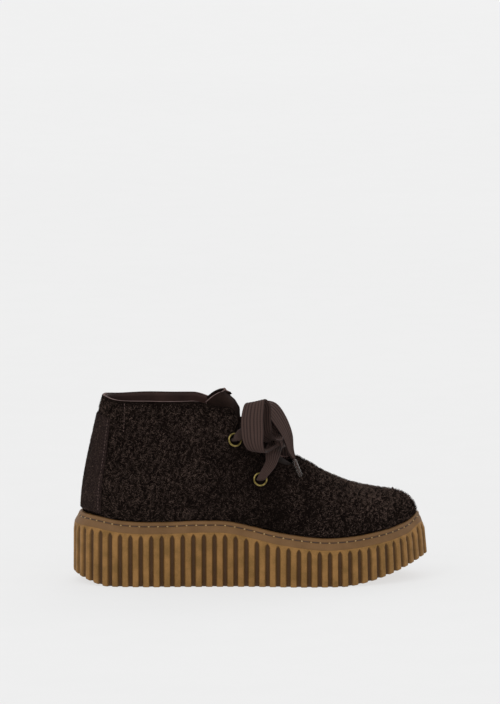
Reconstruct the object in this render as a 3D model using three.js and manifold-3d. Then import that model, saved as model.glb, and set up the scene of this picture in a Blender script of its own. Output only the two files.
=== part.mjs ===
// Lace-up ankle shoe for the right foot, on a thick ribbed platform sole.
// Millimetres, Z up, toe towards +X, outer (lateral) side towards -Y.
import * as THREE from "three";
import { mergeVertices } from "three/addons/utils/BufferGeometryUtils.js";
import Module from "manifold-3d";

const wasm = await Module();
wasm.setup();

// Driving sizes
const SOLE_LENGTH = 276; // heel to toe over the ribs
const SOLE_WIDTH = 103; // across the ball over the ribs
const PLATFORM_HEIGHT = 55; // floor to the top of the platform at the back of the heel
const UPPER_HEIGHT = 92; // platform top to collar at the ankle
const WALL = 2.2; // suede and its lining
const QUARTER_STEP = 1.2; // how far the quarters stand out from the vamp
const GAP = 0.3; // between pieces that touch
const HEEL_BEVEL = 8; // lift of the sole's back edge
const HEEL_BEVEL_LENGTH = 26;
const TOE_SPRING = 18; // lift of the sole's toe edge
const TOE_SPRING_START = 0.76; // share of the length
const BAND_HEIGHT = 8.6; // smooth stitched band above the ribs
const LIP_HEIGHT = 3.2; // band's top strip, above the stitch groove
const STITCH_GROOVE = 0.6; // depth of that groove
const RIB_HEAD = 6; // sloped length of a rib's top
const RIB_PITCH = 8.2;
const GROOVE_WIDTH = 3.7;
const GROOVE_DEPTH = 3.2;
const INSOLE_THICKNESS = 3;
const TONGUE_THICKNESS = 2;
const TONGUE_CLEARANCE = 4.8; // room between tongue and quarter for the lace
const BACKSTAY_THICKNESS = 1;
const EYELET_RADIUS = 5.6;
const EYELET_HOLE = 4;
const EYELET_WALL = 0.6;
const LACE_WIDTH = 19;
const LACE_THICKNESS = 1.4;
const LACED_WIDTH = 12.5; // lace gathered between the eyelets
const THREADED_WIDTH = 5.8; // lace squeezed through an eyelet
const KNOT_LENGTH = 15;
const KNOT_HEIGHT = 8;
const AGLET_LENGTH = 15;
const AGLET_RADIUS = 1.6;

const LATERAL = -1;
const MEDIAL = 1;

// Sole outline over the ribs. at: share of the half turn from heel to toe; lateral, medial: shares of the width.
const OUTLINE = [
  { at: 0, lateral: 0, medial: 0 },
  { at: 0.05, lateral: -0.115, medial: 0.115 },
  { at: 0.1, lateral: -0.218, medial: 0.218 },
  { at: 0.15, lateral: -0.301, medial: 0.299 },
  { at: 0.2, lateral: -0.359, medial: 0.355 },
  { at: 0.3, lateral: -0.398, medial: 0.394 },
  { at: 0.4, lateral: -0.383, medial: 0.41 },
  { at: 0.5, lateral: -0.378, medial: 0.474 },
  { at: 0.6, lateral: -0.415, medial: 0.565 },
  { at: 0.65, lateral: -0.405, medial: 0.586 },
  { at: 0.7, lateral: -0.362, medial: 0.581 },
  { at: 0.75, lateral: -0.291, medial: 0.552 },
  { at: 0.8, lateral: -0.194, medial: 0.508 },
  { at: 0.85, lateral: -0.078, medial: 0.445 },
  { at: 0.9, lateral: 0.045, medial: 0.373 },
  { at: 0.95, lateral: 0.142, medial: 0.3 },
  { at: 1, lateral: 0.223, medial: 0.223 },
];

// Platform top seen from the side. at: share of the length; rise: share of the platform height.
const PLATFORM_TOP = [
  { at: 0, rise: 1 },
  { at: 0.072, rise: 0.975 },
  { at: 0.116, rise: 0.938 },
  { at: 0.16, rise: 0.916 },
  { at: 0.254, rise: 0.909 },
  { at: 0.359, rise: 0.925 },
  { at: 0.438, rise: 0.913 },
  { at: 0.496, rise: 0.853 },
  { at: 0.565, rise: 0.769 },
  { at: 0.638, rise: 0.711 },
  { at: 0.707, rise: 0.676 },
  { at: 0.775, rise: 0.685 },
  { at: 0.848, rise: 0.727 },
  { at: 0.917, rise: 0.79 },
  { at: 0.953, rise: 0.848 },
  { at: 0.971, rise: 0.915 },
  { at: 1, rise: 0.965 },
];

// How far the sole's side leans in, and where the vamp's form starts, mm from the outline over the ribs at the floor.
const SIDE = [
  { at: 0, head: 0.2, foot: 0.9, lip: 5.6, upper: 8.4 },
  { at: 0.25, head: 0.7, foot: 2, lip: 6.2, upper: 8.6 },
  { at: 0.5, head: 0.9, foot: 2.6, lip: 6.6, upper: 8.6 },
  { at: 0.8, head: 1.4, foot: 3.4, lip: 7.2, upper: 8.4 },
  { at: 1, head: 1.9, foot: 4.3, lip: 7.6, upper: 8.7 },
];

// Line that closes the upper's form: the collar, then the ridge of instep and vamp down to the toe.
// along: share of the sole length; centre, half: shares of the sole width; up: share of the upper height above the platform there.
// kept: share of the way up to this line where the upper ends, less than 1 along the throat.
const TOP_LINE = [
  { at: 0, along: 0.086, centre: 0, half: 0, up: 1.0, kept: 1 },
  { at: 0.1, along: 0.095, centre: 0, half: 0.1, up: 1.005, kept: 1 },
  { at: 0.2, along: 0.128, centre: 0, half: 0.208, up: 1.005, kept: 1 },
  { at: 0.3, along: 0.21, centre: 0, half: 0.272, up: 1.02, kept: 1 },
  { at: 0.38, along: 0.322, centre: 0.007, half: 0.262, up: 1.01, kept: 1 },
  { at: 0.43, along: 0.386, centre: 0.014, half: 0.217, up: 1.005, kept: 1 },
  { at: 0.45, along: 0.411, centre: 0.019, half: 0.177, up: 1.0, kept: 1 },
  { at: 0.47, along: 0.434, centre: 0.024, half: 0.118, up: 0.995, kept: 1 },
  { at: 0.485, along: 0.448, centre: 0.027, half: 0.06, up: 0.985, kept: 0.96 },
  { at: 0.495, along: 0.456, centre: 0.03, half: 0, up: 0.975, kept: 0.89 },
  { at: 0.52, along: 0.478, centre: 0.036, half: 0, up: 0.9, kept: 0.79 },
  { at: 0.545, along: 0.51, centre: 0.044, half: 0, up: 0.835, kept: 0.72 },
  { at: 0.575, along: 0.546, centre: 0.053, half: 0, up: 0.768, kept: 0.67 },
  { at: 0.6, along: 0.574, centre: 0.062, half: 0, up: 0.71, kept: 0.67 },
  { at: 0.62, along: 0.598, centre: 0.069, half: 0, up: 0.663, kept: 0.75 },
  { at: 0.635, along: 0.618, centre: 0.075, half: 0, up: 0.63, kept: 0.87 },
  { at: 0.645, along: 0.632, centre: 0.079, half: 0, up: 0.612, kept: 1 },
  { at: 0.7, along: 0.696, centre: 0.097, half: 0, up: 0.52, kept: 1 },
  { at: 0.75, along: 0.75, centre: 0.115, half: 0, up: 0.433, kept: 1 },
  { at: 0.8, along: 0.797, centre: 0.132, half: 0, up: 0.375, kept: 1 },
  { at: 0.85, along: 0.837, centre: 0.149, half: 0, up: 0.336, kept: 1 },
  { at: 0.9, along: 0.868, centre: 0.165, half: 0, up: 0.308, kept: 1 },
  { at: 0.95, along: 0.892, centre: 0.178, half: 0, up: 0.284, kept: 1 },
  { at: 1, along: 0.903, centre: 0.187, half: 0, up: 0.276, kept: 1 },
];
const THROAT_TOP = 0.495;
const THROAT_BOTTOM = 0.645;

// Fullness of the upper's side. lowOut, highOut: shares of the sole width; lowUp, highDown: shares of the upper height.
const FULLNESS = [
  { at: 0, lowOut: 0.0, lowUp: 0.3, highOut: 0.052, highDown: 0.33 },
  { at: 0.1, lowOut: 0.016, lowUp: 0.31, highOut: 0.036, highDown: 0.33 },
  { at: 0.2, lowOut: 0.04, lowUp: 0.32, highOut: 0, highDown: 0.34 },
  { at: 0.3, lowOut: 0.052, lowUp: 0.32, highOut: -0.014, highDown: 0.36 },
  { at: 0.38, lowOut: 0.052, lowUp: 0.31, highOut: 0, highDown: 0.34 },
  { at: 0.43, lowOut: 0.05, lowUp: 0.3, highOut: 0.05, highDown: 0.28 },
  { at: 0.45, lowOut: 0.05, lowUp: 0.29, highOut: 0.094, highDown: 0.23 },
  { at: 0.47, lowOut: 0.05, lowUp: 0.28, highOut: 0.155, highDown: 0.17 },
  { at: 0.495, lowOut: 0.05, lowUp: 0.27, highOut: 0.262, highDown: 0.11 },
  { at: 0.52, lowOut: 0.05, lowUp: 0.26, highOut: 0.265, highDown: 0.075 },
  { at: 0.545, lowOut: 0.05, lowUp: 0.24, highOut: 0.267, highDown: 0.06 },
  { at: 0.575, lowOut: 0.048, lowUp: 0.22, highOut: 0.267, highDown: 0.055 },
  { at: 0.6, lowOut: 0.046, lowUp: 0.205, highOut: 0.267, highDown: 0.05 },
  { at: 0.62, lowOut: 0.045, lowUp: 0.195, highOut: 0.266, highDown: 0.045 },
  { at: 0.645, lowOut: 0.044, lowUp: 0.185, highOut: 0.263, highDown: 0.04 },
  { at: 0.7, lowOut: 0.042, lowUp: 0.17, highOut: 0.255, highDown: 0.03 },
  { at: 0.8, lowOut: 0.034, lowUp: 0.14, highOut: 0.215, highDown: 0.012 },
  { at: 0.9, lowOut: 0.022, lowUp: 0.11, highOut: 0.15, highDown: 0.006 },
  { at: 0.95, lowOut: 0.01, lowUp: 0.09, highOut: 0.115, highDown: 0.005 },
  { at: 1, lowOut: -0.004, lowUp: 0.07, highOut: 0.1, highDown: 0.005 },
];

// Front edge of the quarters from the platform up to the throat. along, up as in the top line.
const QUARTER_EDGE = [
  { along: 0.47, up: -0.05 },
  { along: 0.5, up: 0.01 },
  { along: 0.533, up: 0.045 },
  { along: 0.572, up: 0.11 },
  { along: 0.611, up: 0.195 },
  { along: 0.634, up: 0.243 },
  { along: 0.651, up: 0.287 },
  { along: 0.655, up: 0.345 },
  { along: 0.648, up: 0.41 },
  { along: 0.63, up: 0.482 },
  { along: 0.607, up: 0.55 },
  { along: 0.57, up: 0.8 },
  { along: 0.48, up: 1.2 },
];

// Tongue, bottom to top. middle, edge: stations of its middle and of its side edges; wrap: how far it goes down each side, as a share of the way to the platform; rise: mm above the form.
const TONGUE = [
  { middle: 0.7, edge: 0.67, wrap: 0.3, rise: 0 },
  { middle: 0.675, edge: 0.64, wrap: 0.34, rise: 0 },
  { middle: 0.645, edge: 0.61, wrap: 0.38, rise: 0 },
  { middle: 0.62, edge: 0.58, wrap: 0.4, rise: 0 },
  { middle: 0.595, edge: 0.552, wrap: 0.42, rise: 0 },
  { middle: 0.57, edge: 0.527, wrap: 0.42, rise: 0 },
  { middle: 0.545, edge: 0.5, wrap: 0.4, rise: 0 },
  { middle: 0.522, edge: 0.475, wrap: 0.34, rise: 0 },
  { middle: 0.505, edge: 0.455, wrap: 0.25, rise: 0 },
  { middle: 0.497, edge: 0.443, wrap: 0.16, rise: 1 },
  { middle: 0.497, edge: 0.437, wrap: 0.11, rise: 4.5 },
  { middle: 0.497, edge: 0.433, wrap: 0.08, rise: 8.5 },
  { middle: 0.497, edge: 0.43, wrap: 0.06, rise: 12 },
];
const TONGUE_LEAN = 0; // how far the part above the form leans back
const TONGUE_SIDE_RISE = 0.35; // rise of the tongue's side edges, as a share of the middle's
const INSTEP_SLANT = 0.1;

// Eyelets on the upper's surface. at: column; v: share of the way from platform to top line.
const EYELETS = [
  { name: "upper", at: 0.482, v: 0.64 },
  { name: "lower", at: 0.532, v: 0.55 },
];

// Lace bar from a lower eyelet to the ridge, and lead from an upper eyelet towards the knot. lift: mm above the quarters.
const BAR_STATION = 0.604;
const BAR = [
  { turn: -0.42, lift: 3, width: 9 },
  { turn: -0.32, lift: 2.4, width: LACED_WIDTH },
  { turn: -0.16, lift: 2.2, width: LACED_WIDTH },
  { turn: 0, lift: 2.2, width: LACED_WIDTH },
];
const LEAD = [
  { at: 0.535, turn: 0.33, lift: 3.8, width: 8 },
  { at: 0.56, turn: 0.27, lift: 2.6, width: 9 },
];

// Value of one column of a table, along a smooth curve through its rows.
function read(table, key, at) {
  const last = table.length - 1;
  let i = 0;
  while (i < last - 1 && at > table[i + 1].at) i++;
  const step = (k) => (table[k + 1][key] - table[k][key]) / (table[k + 1].at - table[k].at);
  const slope = (k) => {
    if (k === 0) return step(0);
    if (k === last) return step(last - 1);
    const before = table[k].at - table[k - 1].at;
    const after = table[k + 1].at - table[k].at;
    return (step(k - 1) * after + step(k) * before) / (before + after);
  };
  const span = table[i + 1].at - table[i].at;
  const t = (at - table[i].at) / span;
  const a = table[i][key];
  const b = table[i + 1][key];
  return (
    a * (2 * t ** 3 - 3 * t ** 2 + 1) +
    span * slope(i) * (t ** 3 - 2 * t ** 2 + t) +
    b * (3 * t ** 2 - 2 * t ** 3) +
    span * slope(i + 1) * (t ** 3 - t ** 2)
  );
}

const shares = (count, from = 0, to = 1) =>
  Array.from({ length: count + 1 }, (_, i) => from + ((to - from) * i) / count);

// Height of the platform's top and of its underside at a distance from the heel.
const topHeight = (x) => PLATFORM_HEIGHT * read(PLATFORM_TOP, "rise", THREE.MathUtils.clamp(x / SOLE_LENGTH, 0, 1));

function bottomHeight(x) {
  const back = Math.max(0, 1 - x / HEEL_BEVEL_LENGTH);
  const front = Math.max(0, (x / SOLE_LENGTH - TOE_SPRING_START) / (1 - TOE_SPRING_START));
  return HEEL_BEVEL * back ** 1.3 + TOE_SPRING * front ** 1.55;
}

// Point of the sole's outline, moved in by an inset, with the outline's outward direction there.
function outline(side, at, inset) {
  const key = side === LATERAL ? "lateral" : "medial";
  const place = (t) =>
    new THREE.Vector2((SOLE_LENGTH * (1 - Math.cos(Math.PI * t))) / 2, SOLE_WIDTH * read(OUTLINE, key, t));
  const along = place(Math.min(at + 0.002, 1)).sub(place(Math.max(at - 0.002, 0)));
  if (at <= 0 || at >= 1) along.x = 0;
  const out = new THREE.Vector2(along.y, -along.x).multiplyScalar(-side).normalize();
  return { point: place(at).addScaledVector(out, -inset), out };
}

// Ring round the whole shoe: heel, lateral side, toe, medial side. place gives one point.
function ring(stations, place) {
  const lateral = stations.map((at) => place(LATERAL, at));
  const medial = stations.slice(1, -1).map((at) => place(MEDIAL, at));
  return [...lateral, ...medial.reverse()];
}

class Surface {
  constructor() {
    this.points = [];
    this.faces = [];
  }

  face(...corners) {
    const start = this.points.length / 3;
    for (const p of corners) this.points.push(p.x, p.y, p.z);
    for (let i = 1; i < corners.length - 1; i++) this.faces.push(start, start + i, start + i + 1);
  }

  // Faces between two rings of equal length; closed joins the last point to the first.
  band(lower, upper, closed = true) {
    const count = closed ? lower.length : lower.length - 1;
    for (let i = 0; i < count; i++) {
      const j = (i + 1) % lower.length;
      this.face(lower[i], lower[j], upper[j]);
      this.face(lower[i], upper[j], upper[i]);
    }
  }

  // Level-by-level floor of a ring that goes round the shoe; up says which way it faces.
  cap(points, up) {
    const half = points.length / 2;
    for (let i = 0; i < half; i++) {
      const corners = [points[i], points[i + 1]];
      if (i < half - 1) corners.push(points[points.length - i - 1]);
      if (i > 0) corners.push(points[points.length - i]);
      this.face(corners[0], ...(up ? corners.slice(1) : corners.slice(1).reverse()));
    }
  }

  solid() {
    const geometry = new THREE.BufferGeometry();
    geometry.setAttribute("position", new THREE.Float32BufferAttribute(this.points, 3));
    geometry.setIndex(this.faces);
    return toSolid(geometry);
  }
}

function toSolid(geometry) {
  const bare = geometry.clone();
  bare.deleteAttribute("normal");
  bare.deleteAttribute("uv");
  const merged = mergeVertices(bare, 1e-3);
  const corners = [];
  const index = merged.index.array;
  for (let i = 0; i < index.length; i += 3) {
    const [a, b, c] = index.slice(i, i + 3);
    if (a !== b && b !== c && c !== a) corners.push(a, b, c);
  }
  return new wasm.Manifold(
    new wasm.Mesh({ numProp: 3, vertProperties: merged.attributes.position.array, triVerts: new Uint32Array(corners) }),
  );
}

function loft(rings) {
  const surface = new Surface();
  surface.cap(rings[0], false);
  for (let i = 1; i < rings.length; i++) surface.band(rings[i - 1], rings[i]);
  surface.cap(rings.at(-1), true);
  return surface.solid();
}

// Ring of the sole's side. inset and height are functions of the station and of the distance from the heel.
function soleRing(stations, inset, height) {
  return ring(stations, (side, at) => {
    const { point } = outline(side, at, inset(at));
    return new THREE.Vector3(point.x, point.y, height(point.x));
  });
}

const inset = (key) => (at) => read(SIDE, key, at);
const bandFoot = (x) => topHeight(x) - BAND_HEIGHT;

// Cutter for one groove between two ribs: an arch seen from the side, sunk into the sole.
function groove(side, at) {
  const foot = outline(side, at, 0);
  const low = bottomHeight(foot.point.x) - 3;
  const head = read(SIDE, "foot", at) + 0.9;
  const high = bandFoot(outline(side, at, head).point.x) - RIB_HEAD / 5;
  const spring = high - RIB_HEAD / 2;
  const sunk = (z) => THREE.MathUtils.lerp(GROOVE_DEPTH, head, (z - low) / (high - low));
  const half = GROOVE_WIDTH / 2;
  const arch = [
    [-half, low],
    [half, low],
    [half, spring],
    [0, high],
    [-half, spring],
  ];
  const along = new THREE.Vector2(-foot.out.y, foot.out.x);
  const place = ([s, z], depth) => {
    const p = foot.point.clone().addScaledVector(along, s).addScaledVector(foot.out, -depth);
    return new THREE.Vector3(p.x, p.y, z);
  };
  const inner = arch.map((p) => place(p, sunk(p[1])));
  const outer = arch.map((p) => place(p, -3));
  const surface = new Surface();
  surface.band(inner, outer);
  surface.face(...inner.slice().reverse());
  surface.face(...outer);
  const made = surface.solid();
  return made;
}

// Stations that share the sole's rim into equal steps, as [side, at].
function ribStations() {
  const fine = 600;
  const rim = [
    ...shares(fine).map((at) => [LATERAL, at]),
    ...shares(fine).map((at) => [MEDIAL, 1 - at]),
  ].map(([side, at]) => ({ side, at, point: outline(side, at, 0).point }));
  let run = 0;
  const runs = rim.map((p, i) => (run += i ? p.point.distanceTo(rim[i - 1].point) : 0));
  const count = Math.round(run / RIB_PITCH);
  return shares(count)
    .slice(0, -1)
    .map((share) => {
      const want = share * run + RIB_PITCH * 0.25;
      const i = runs.findIndex((r) => r > want);
      const t = (want - runs[i - 1]) / (runs[i] - runs[i - 1]);
      return { side: rim[i].side, at: THREE.MathUtils.lerp(rim[i - 1].at, rim[i].at, t) };
    });
}

const SOLE_STATIONS = shares(30);

function makeOutsole() {
  const stations = SOLE_STATIONS;
  const body = loft([
    soleRing(stations, () => 0, bottomHeight),
    soleRing(stations, inset("head"), (x) => bandFoot(x) - RIB_HEAD),
    soleRing(stations, inset("foot"), (x) => bandFoot(x) - GAP),
  ]);
  const cutters = ribStations().map(({ side, at }) => groove(side, at));
  return body.subtract(wasm.Manifold.union(cutters));
}

// Band between the ribs and the upper, with the groove its stitches lie in.
function makeMidsole() {
  const stations = SOLE_STATIONS;
  const lean = (share, sunk = 0) => (at) =>
    THREE.MathUtils.lerp(read(SIDE, "foot", at), read(SIDE, "lip", at), share) + sunk;
  const level = (share) => (x) => bandFoot(x) + BAND_HEIGHT * share;
  const stitch = 1 - LIP_HEIGHT / BAND_HEIGHT;
  return loft([
    soleRing(stations, lean(0), level(0)),
    soleRing(stations, lean(stitch - 0.12), level(stitch - 0.12)),
    soleRing(stations, lean(stitch, STITCH_GROOVE), level(stitch)),
    soleRing(stations, lean(stitch + 0.1), level(stitch + 0.1)),
    soleRing(stations, lean(1, -0.3), level(0.93)),
    soleRing(stations, lean(1), level(1)),
  ]);
}

// Closed form under the shoe's upper. t runs from the platform (0) to the collar or ridge (1).
function formPoint(side, at, t) {
  const { point, out } = outline(side, at, read(SIDE, "upper", at));
  const low = new THREE.Vector3(point.x, point.y, topHeight(point.x) + 1.6 * GAP);
  const x = SOLE_LENGTH * read(TOP_LINE, "along", at);
  const half = at >= THROAT_TOP ? 0 : Math.max(0, read(TOP_LINE, "half", at));
  const y = SOLE_WIDTH * (read(TOP_LINE, "centre", at) + side * half);
  const high = new THREE.Vector3(x, y, topHeight(x) + UPPER_HEIGHT * read(TOP_LINE, "up", at));
  const reach = new THREE.Vector3(out.x, out.y, 0);
  const lower = low.clone().addScaledVector(reach, SOLE_WIDTH * read(FULLNESS, "lowOut", at));
  lower.z += UPPER_HEIGHT * read(FULLNESS, "lowUp", at);
  const upper = high.clone().addScaledVector(reach, SOLE_WIDTH * read(FULLNESS, "highOut", at));
  upper.z -= UPPER_HEIGHT * read(FULLNESS, "highDown", at);
  return new THREE.CubicBezierCurve3(low, lower, upper, high).getPoint(t);
}

// Outward direction of that form. Both sides share it where they meet.
function formNormal(side, at, t) {
  const one = (s) => {
    const e = 0.004;
    const along = formPoint(s, Math.min(at + e, 1), t).sub(formPoint(s, Math.max(at - e, 0), t));
    const up = formPoint(s, at, Math.min(t + e, 1)).sub(formPoint(s, at, Math.max(t - e, 0)));
    return along.cross(up).multiplyScalar(-s).normalize();
  };
  const shared = at <= 0 || at >= 1 || (t >= 1 && at >= THROAT_TOP);
  if (!shared) return one(side);
  return one(LATERAL).add(one(MEDIAL)).normalize();
}

const kept = (at, v) => v * (at >= THROAT_BOTTOM ? 1 : Math.min(1, read(TOP_LINE, "kept", at)));

// The upper's surface is the form as far as the throat's edge. v runs from the platform (0) to that edge or the collar (1).
const upperPoint = (side, at, v) => formPoint(side, at, kept(at, v));
const upperNormal = (side, at, v) => formNormal(side, at, kept(at, v));

// Point at a distance outside the upper's surface, kept off the platform.
function upperOffset(side, at, v, distance) {
  const p = upperPoint(side, at, v).addScaledVector(upperNormal(side, at, v), distance);
  p.z = Math.max(p.z, topHeight(p.x) + 1.6 * GAP);
  return p;
}

const UPPER_STATIONS = [
  ...shares(15, 0, THROAT_TOP),
  ...shares(9, THROAT_TOP, THROAT_BOTTOM).slice(1),
  ...shares(11, THROAT_BOTTOM, 1).slice(1),
];
const OPEN_STATIONS = UPPER_STATIONS.filter((at) => at <= THROAT_BOTTOM);

// The upper's form between two distances from its surface.
function makeShell(far = 0, near = -WALL) {
  const surface = new Surface();
  const outer = shares(8).map((v) => ring(UPPER_STATIONS, (side, at) => upperOffset(side, at, v, far)));
  const inner = shares(6).map((v) => ring(UPPER_STATIONS, (side, at) => upperOffset(side, at, v, near)));
  for (let i = 1; i < outer.length; i++) surface.band(outer[i - 1], outer[i]);
  for (let i = 1; i < inner.length; i++) surface.band(inner[i], inner[i - 1]);
  surface.band(inner[0], outer[0]);
  // The rim of collar and throat, from the throat's foot on one side to the other.
  const rim = (points) => {
    const open = OPEN_STATIONS.length;
    return [...points.slice(1 - open), ...points.slice(0, open)];
  };
  surface.band(rim(outer.at(-1)), rim(inner.at(-1)), false);
  return surface.solid();
}

// Sheet that follows the upper's surface between two distances, from v low to v high, as far as a station to each side.
function sheet(stations, levels, near, far) {
  const row = (v, distance) => [
    ...stations.slice(1).reverse().map((at) => upperOffset(MEDIAL, at, v, distance)),
    ...stations.map((at) => upperOffset(LATERAL, at, v, distance)),
  ];
  const outer = levels.map((v) => row(v, far));
  const inner = levels.map((v) => row(v, near));
  const surface = new Surface();
  for (let i = 1; i < levels.length; i++) {
    surface.band(outer[i - 1], outer[i], false);
    surface.band(inner[i], inner[i - 1], false);
    for (const [end, turned] of [[0, false], [outer[0].length - 1, true]]) {
      const corners = [inner[i - 1][end], outer[i - 1][end], outer[i][end], inner[i][end]];
      surface.face(...(turned ? corners.reverse() : corners));
    }
  }
  surface.band(inner[0], outer[0], false);
  surface.band(outer.at(-1), inner.at(-1), false);
  return surface.solid();
}

const sideHeight = (x, up) => topHeight(x) + UPPER_HEIGHT * up;

// Everything behind the quarters' front edge, as a prism across the shoe.
function quarterRegion() {
  const edge = QUARTER_EDGE.map(({ along, up }) => {
    const x = SOLE_LENGTH * along;
    return new THREE.Vector2(x, sideHeight(x, up));
  });
  const shape = new THREE.Shape([
    new THREE.Vector2(-20, 0),
    new THREE.Vector2(edge[0].x, 0),
    ...edge,
    new THREE.Vector2(-20, edge.at(-1).y),
  ]);
  const prism = new THREE.ExtrudeGeometry(shape, { depth: 2 * SOLE_WIDTH, bevelEnabled: false });
  prism.rotateX(Math.PI / 2).translate(0, SOLE_WIDTH, 0);
  return toSolid(prism);
}

function eyeletFrame(side, { at, v }) {
  const out = upperNormal(side, at, v);
  const place = upperPoint(side, at, v).addScaledVector(out, QUARTER_STEP);
  return { place, out, turn: new THREE.Quaternion().setFromUnitVectors(new THREE.Vector3(0, 1, 0), out) };
}

function seat(geometry, { place, turn }) {
  return geometry.applyQuaternion(turn).translate(place.x, place.y, place.z);
}

function makeUpper() {
  const quarters = sheet(OPEN_STATIONS, shares(8, 0.012, 0.992), -0.8 * WALL, QUARTER_STEP);
  const drilled = EYELET_HOLE + EYELET_WALL + 1.5 * GAP;
  let upper = makeShell().add(quarters.intersect(quarterRegion()));
  for (const side of [LATERAL, MEDIAL])
    for (const eyelet of EYELETS) {
      const drill = new THREE.CylinderGeometry(drilled, drilled, 14, 14);
      upper = upper.subtract(toSolid(seat(drill, eyeletFrame(side, eyelet))));
    }
  return upper;
}

// Eyelet: a tube through the wall with a rolled flange outside.
function makeEyelet(side, eyelet) {
  const deep = -(WALL + QUARTER_STEP + 0.2);
  const clear = 1.5 * GAP;
  const profile = [
    [EYELET_HOLE, deep],
    [EYELET_HOLE + EYELET_WALL, deep],
    [EYELET_HOLE + EYELET_WALL, clear],
    [EYELET_RADIUS, clear],
    [EYELET_HOLE + 0.7, clear + 1],
    [EYELET_HOLE, clear + 0.5],
    [EYELET_HOLE, deep],
  ].map(([r, y]) => new THREE.Vector2(r, y));
  return toSolid(seat(new THREE.LatheGeometry(profile, 14), eyeletFrame(side, eyelet)));
}

function makeBackstay() {
  const lift = QUARTER_STEP + 1.5 * GAP;
  return sheet(shares(6, 0, 0.17), shares(8, 0.03, 0.84), lift, lift + BACKSTAY_THICKNESS);
}

function makeInsole() {
  const stations = SOLE_STATIONS;
  const edge = (at) => read(SIDE, "upper", at) + WALL + 3 * GAP;
  return loft([
    soleRing(stations, edge, (x) => topHeight(x) + 2 * GAP),
    soleRing(stations, edge, (x) => topHeight(x) + 2 * GAP + INSOLE_THICKNESS),
  ]);
}

// Point over the instep. turn: 0 on the ridge, 1 at the platform, negative to the lateral side; lift: distance outside the form.
function instep(station, turn, lift) {
  const side = turn < 0 ? LATERAL : MEDIAL;
  const t = 1 - Math.abs(turn);
  const normal = formNormal(side, station, t);
  return { point: formPoint(side, station, t).addScaledVector(normal, lift), normal };
}

// Sheet under the throat, from beneath the vamp to above the collar.
function makeTongue() {
  const outerLift = -(WALL + TONGUE_CLEARANCE);
  const strip = (row, lift) =>
    shares(12, -1, 1).map((b) => {
      const { point } = instep(THREE.MathUtils.lerp(row.middle, row.edge, Math.abs(b)), b * row.wrap, lift);
      const rise = row.rise * (1 - (1 - TONGUE_SIDE_RISE) * b * b);
      return point.add(new THREE.Vector3(-TONGUE_LEAN * rise, 0, rise));
    });
  const outer = TONGUE.map((row) => strip(row, outerLift));
  const inner = TONGUE.map((row) => strip(row, outerLift - TONGUE_THICKNESS));
  const surface = new Surface();
  const last = outer[0].length - 1;
  for (let i = 1; i < TONGUE.length; i++) {
    surface.band(outer[i - 1], outer[i], false);
    surface.band(inner[i], inner[i - 1], false);
    surface.face(outer[i - 1][0], outer[i][0], inner[i][0], inner[i - 1][0]);
    surface.face(inner[i - 1][last], inner[i][last], outer[i][last], outer[i - 1][last]);
  }
  surface.band(inner[0], outer[0], false);
  surface.band(outer.at(-1), inner.at(-1), false);
  return surface.solid().subtract(makeShell(QUARTER_STEP + 4 * GAP, -WALL - 2 * GAP));
}

// Flat lace swept along points. Each row has a place, a width and the direction its width lies in.
function ribbon(rows, pieces, thickness = LACE_THICKNESS) {
  const line = new THREE.CatmullRomCurve3(rows.map((row) => row.place), false, "centripetal");
  const table = rows.map((row, i) => ({
    at: i / (rows.length - 1),
    width: row.width,
    x: row.across.x,
    y: row.across.y,
    z: row.across.z,
  }));
  const surface = new Surface();
  const sections = shares(pieces).map((t) => {
    const place = line.getPoint(t);
    const along = line.getTangent(t);
    const across = new THREE.Vector3(read(table, "x", t), read(table, "y", t), read(table, "z", t));
    across.addScaledVector(along, -across.dot(along)).normalize();
    const up = along.clone().cross(across);
    const half = Math.max(read(table, "width", t), thickness) / 2;
    return [[-1, -1], [1, -1], [1, 1], [-1, 1]].map(([s, n]) =>
      place.clone().addScaledVector(across, s * half).addScaledVector(up, (n * thickness) / 2),
    );
  });
  for (let i = 1; i < sections.length; i++) surface.band(sections[i - 1], sections[i]);
  surface.face(...sections[0].slice().reverse());
  surface.face(...sections.at(-1));
  return surface.solid();
}

// Where the lace goes through an eyelet, from inside the upper to just outside.
function threaded(side, eyelet) {
  const { place, out } = eyeletFrame(side, eyelet);
  const across = new THREE.Vector3(0, 0, 1).cross(out).normalize();
  const row = (distance, width = THREADED_WIDTH) => ({
    place: place.clone().addScaledVector(out, distance),
    width,
    across,
  });
  return [row(-WALL - QUARTER_STEP - 1.8), row(-1.5), row(1.5), row(3.6, THREADED_WIDTH)];
}

const [UPPER_EYELET, LOWER_EYELET] = EYELETS;

// Row of a ribbon that lies over the form, its width along the shoe.
function over(at, turn, lift, width) {
  const side = turn < 0 ? LATERAL : MEDIAL;
  const station = at - INSTEP_SLANT * Math.abs(turn);
  const t = 1 - Math.abs(turn);
  const across = formPoint(side, station + 0.02, t).sub(formPoint(side, station - 0.02, t)).normalize();
  return { place: instep(station, turn, lift).point, width, across };
}

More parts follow.
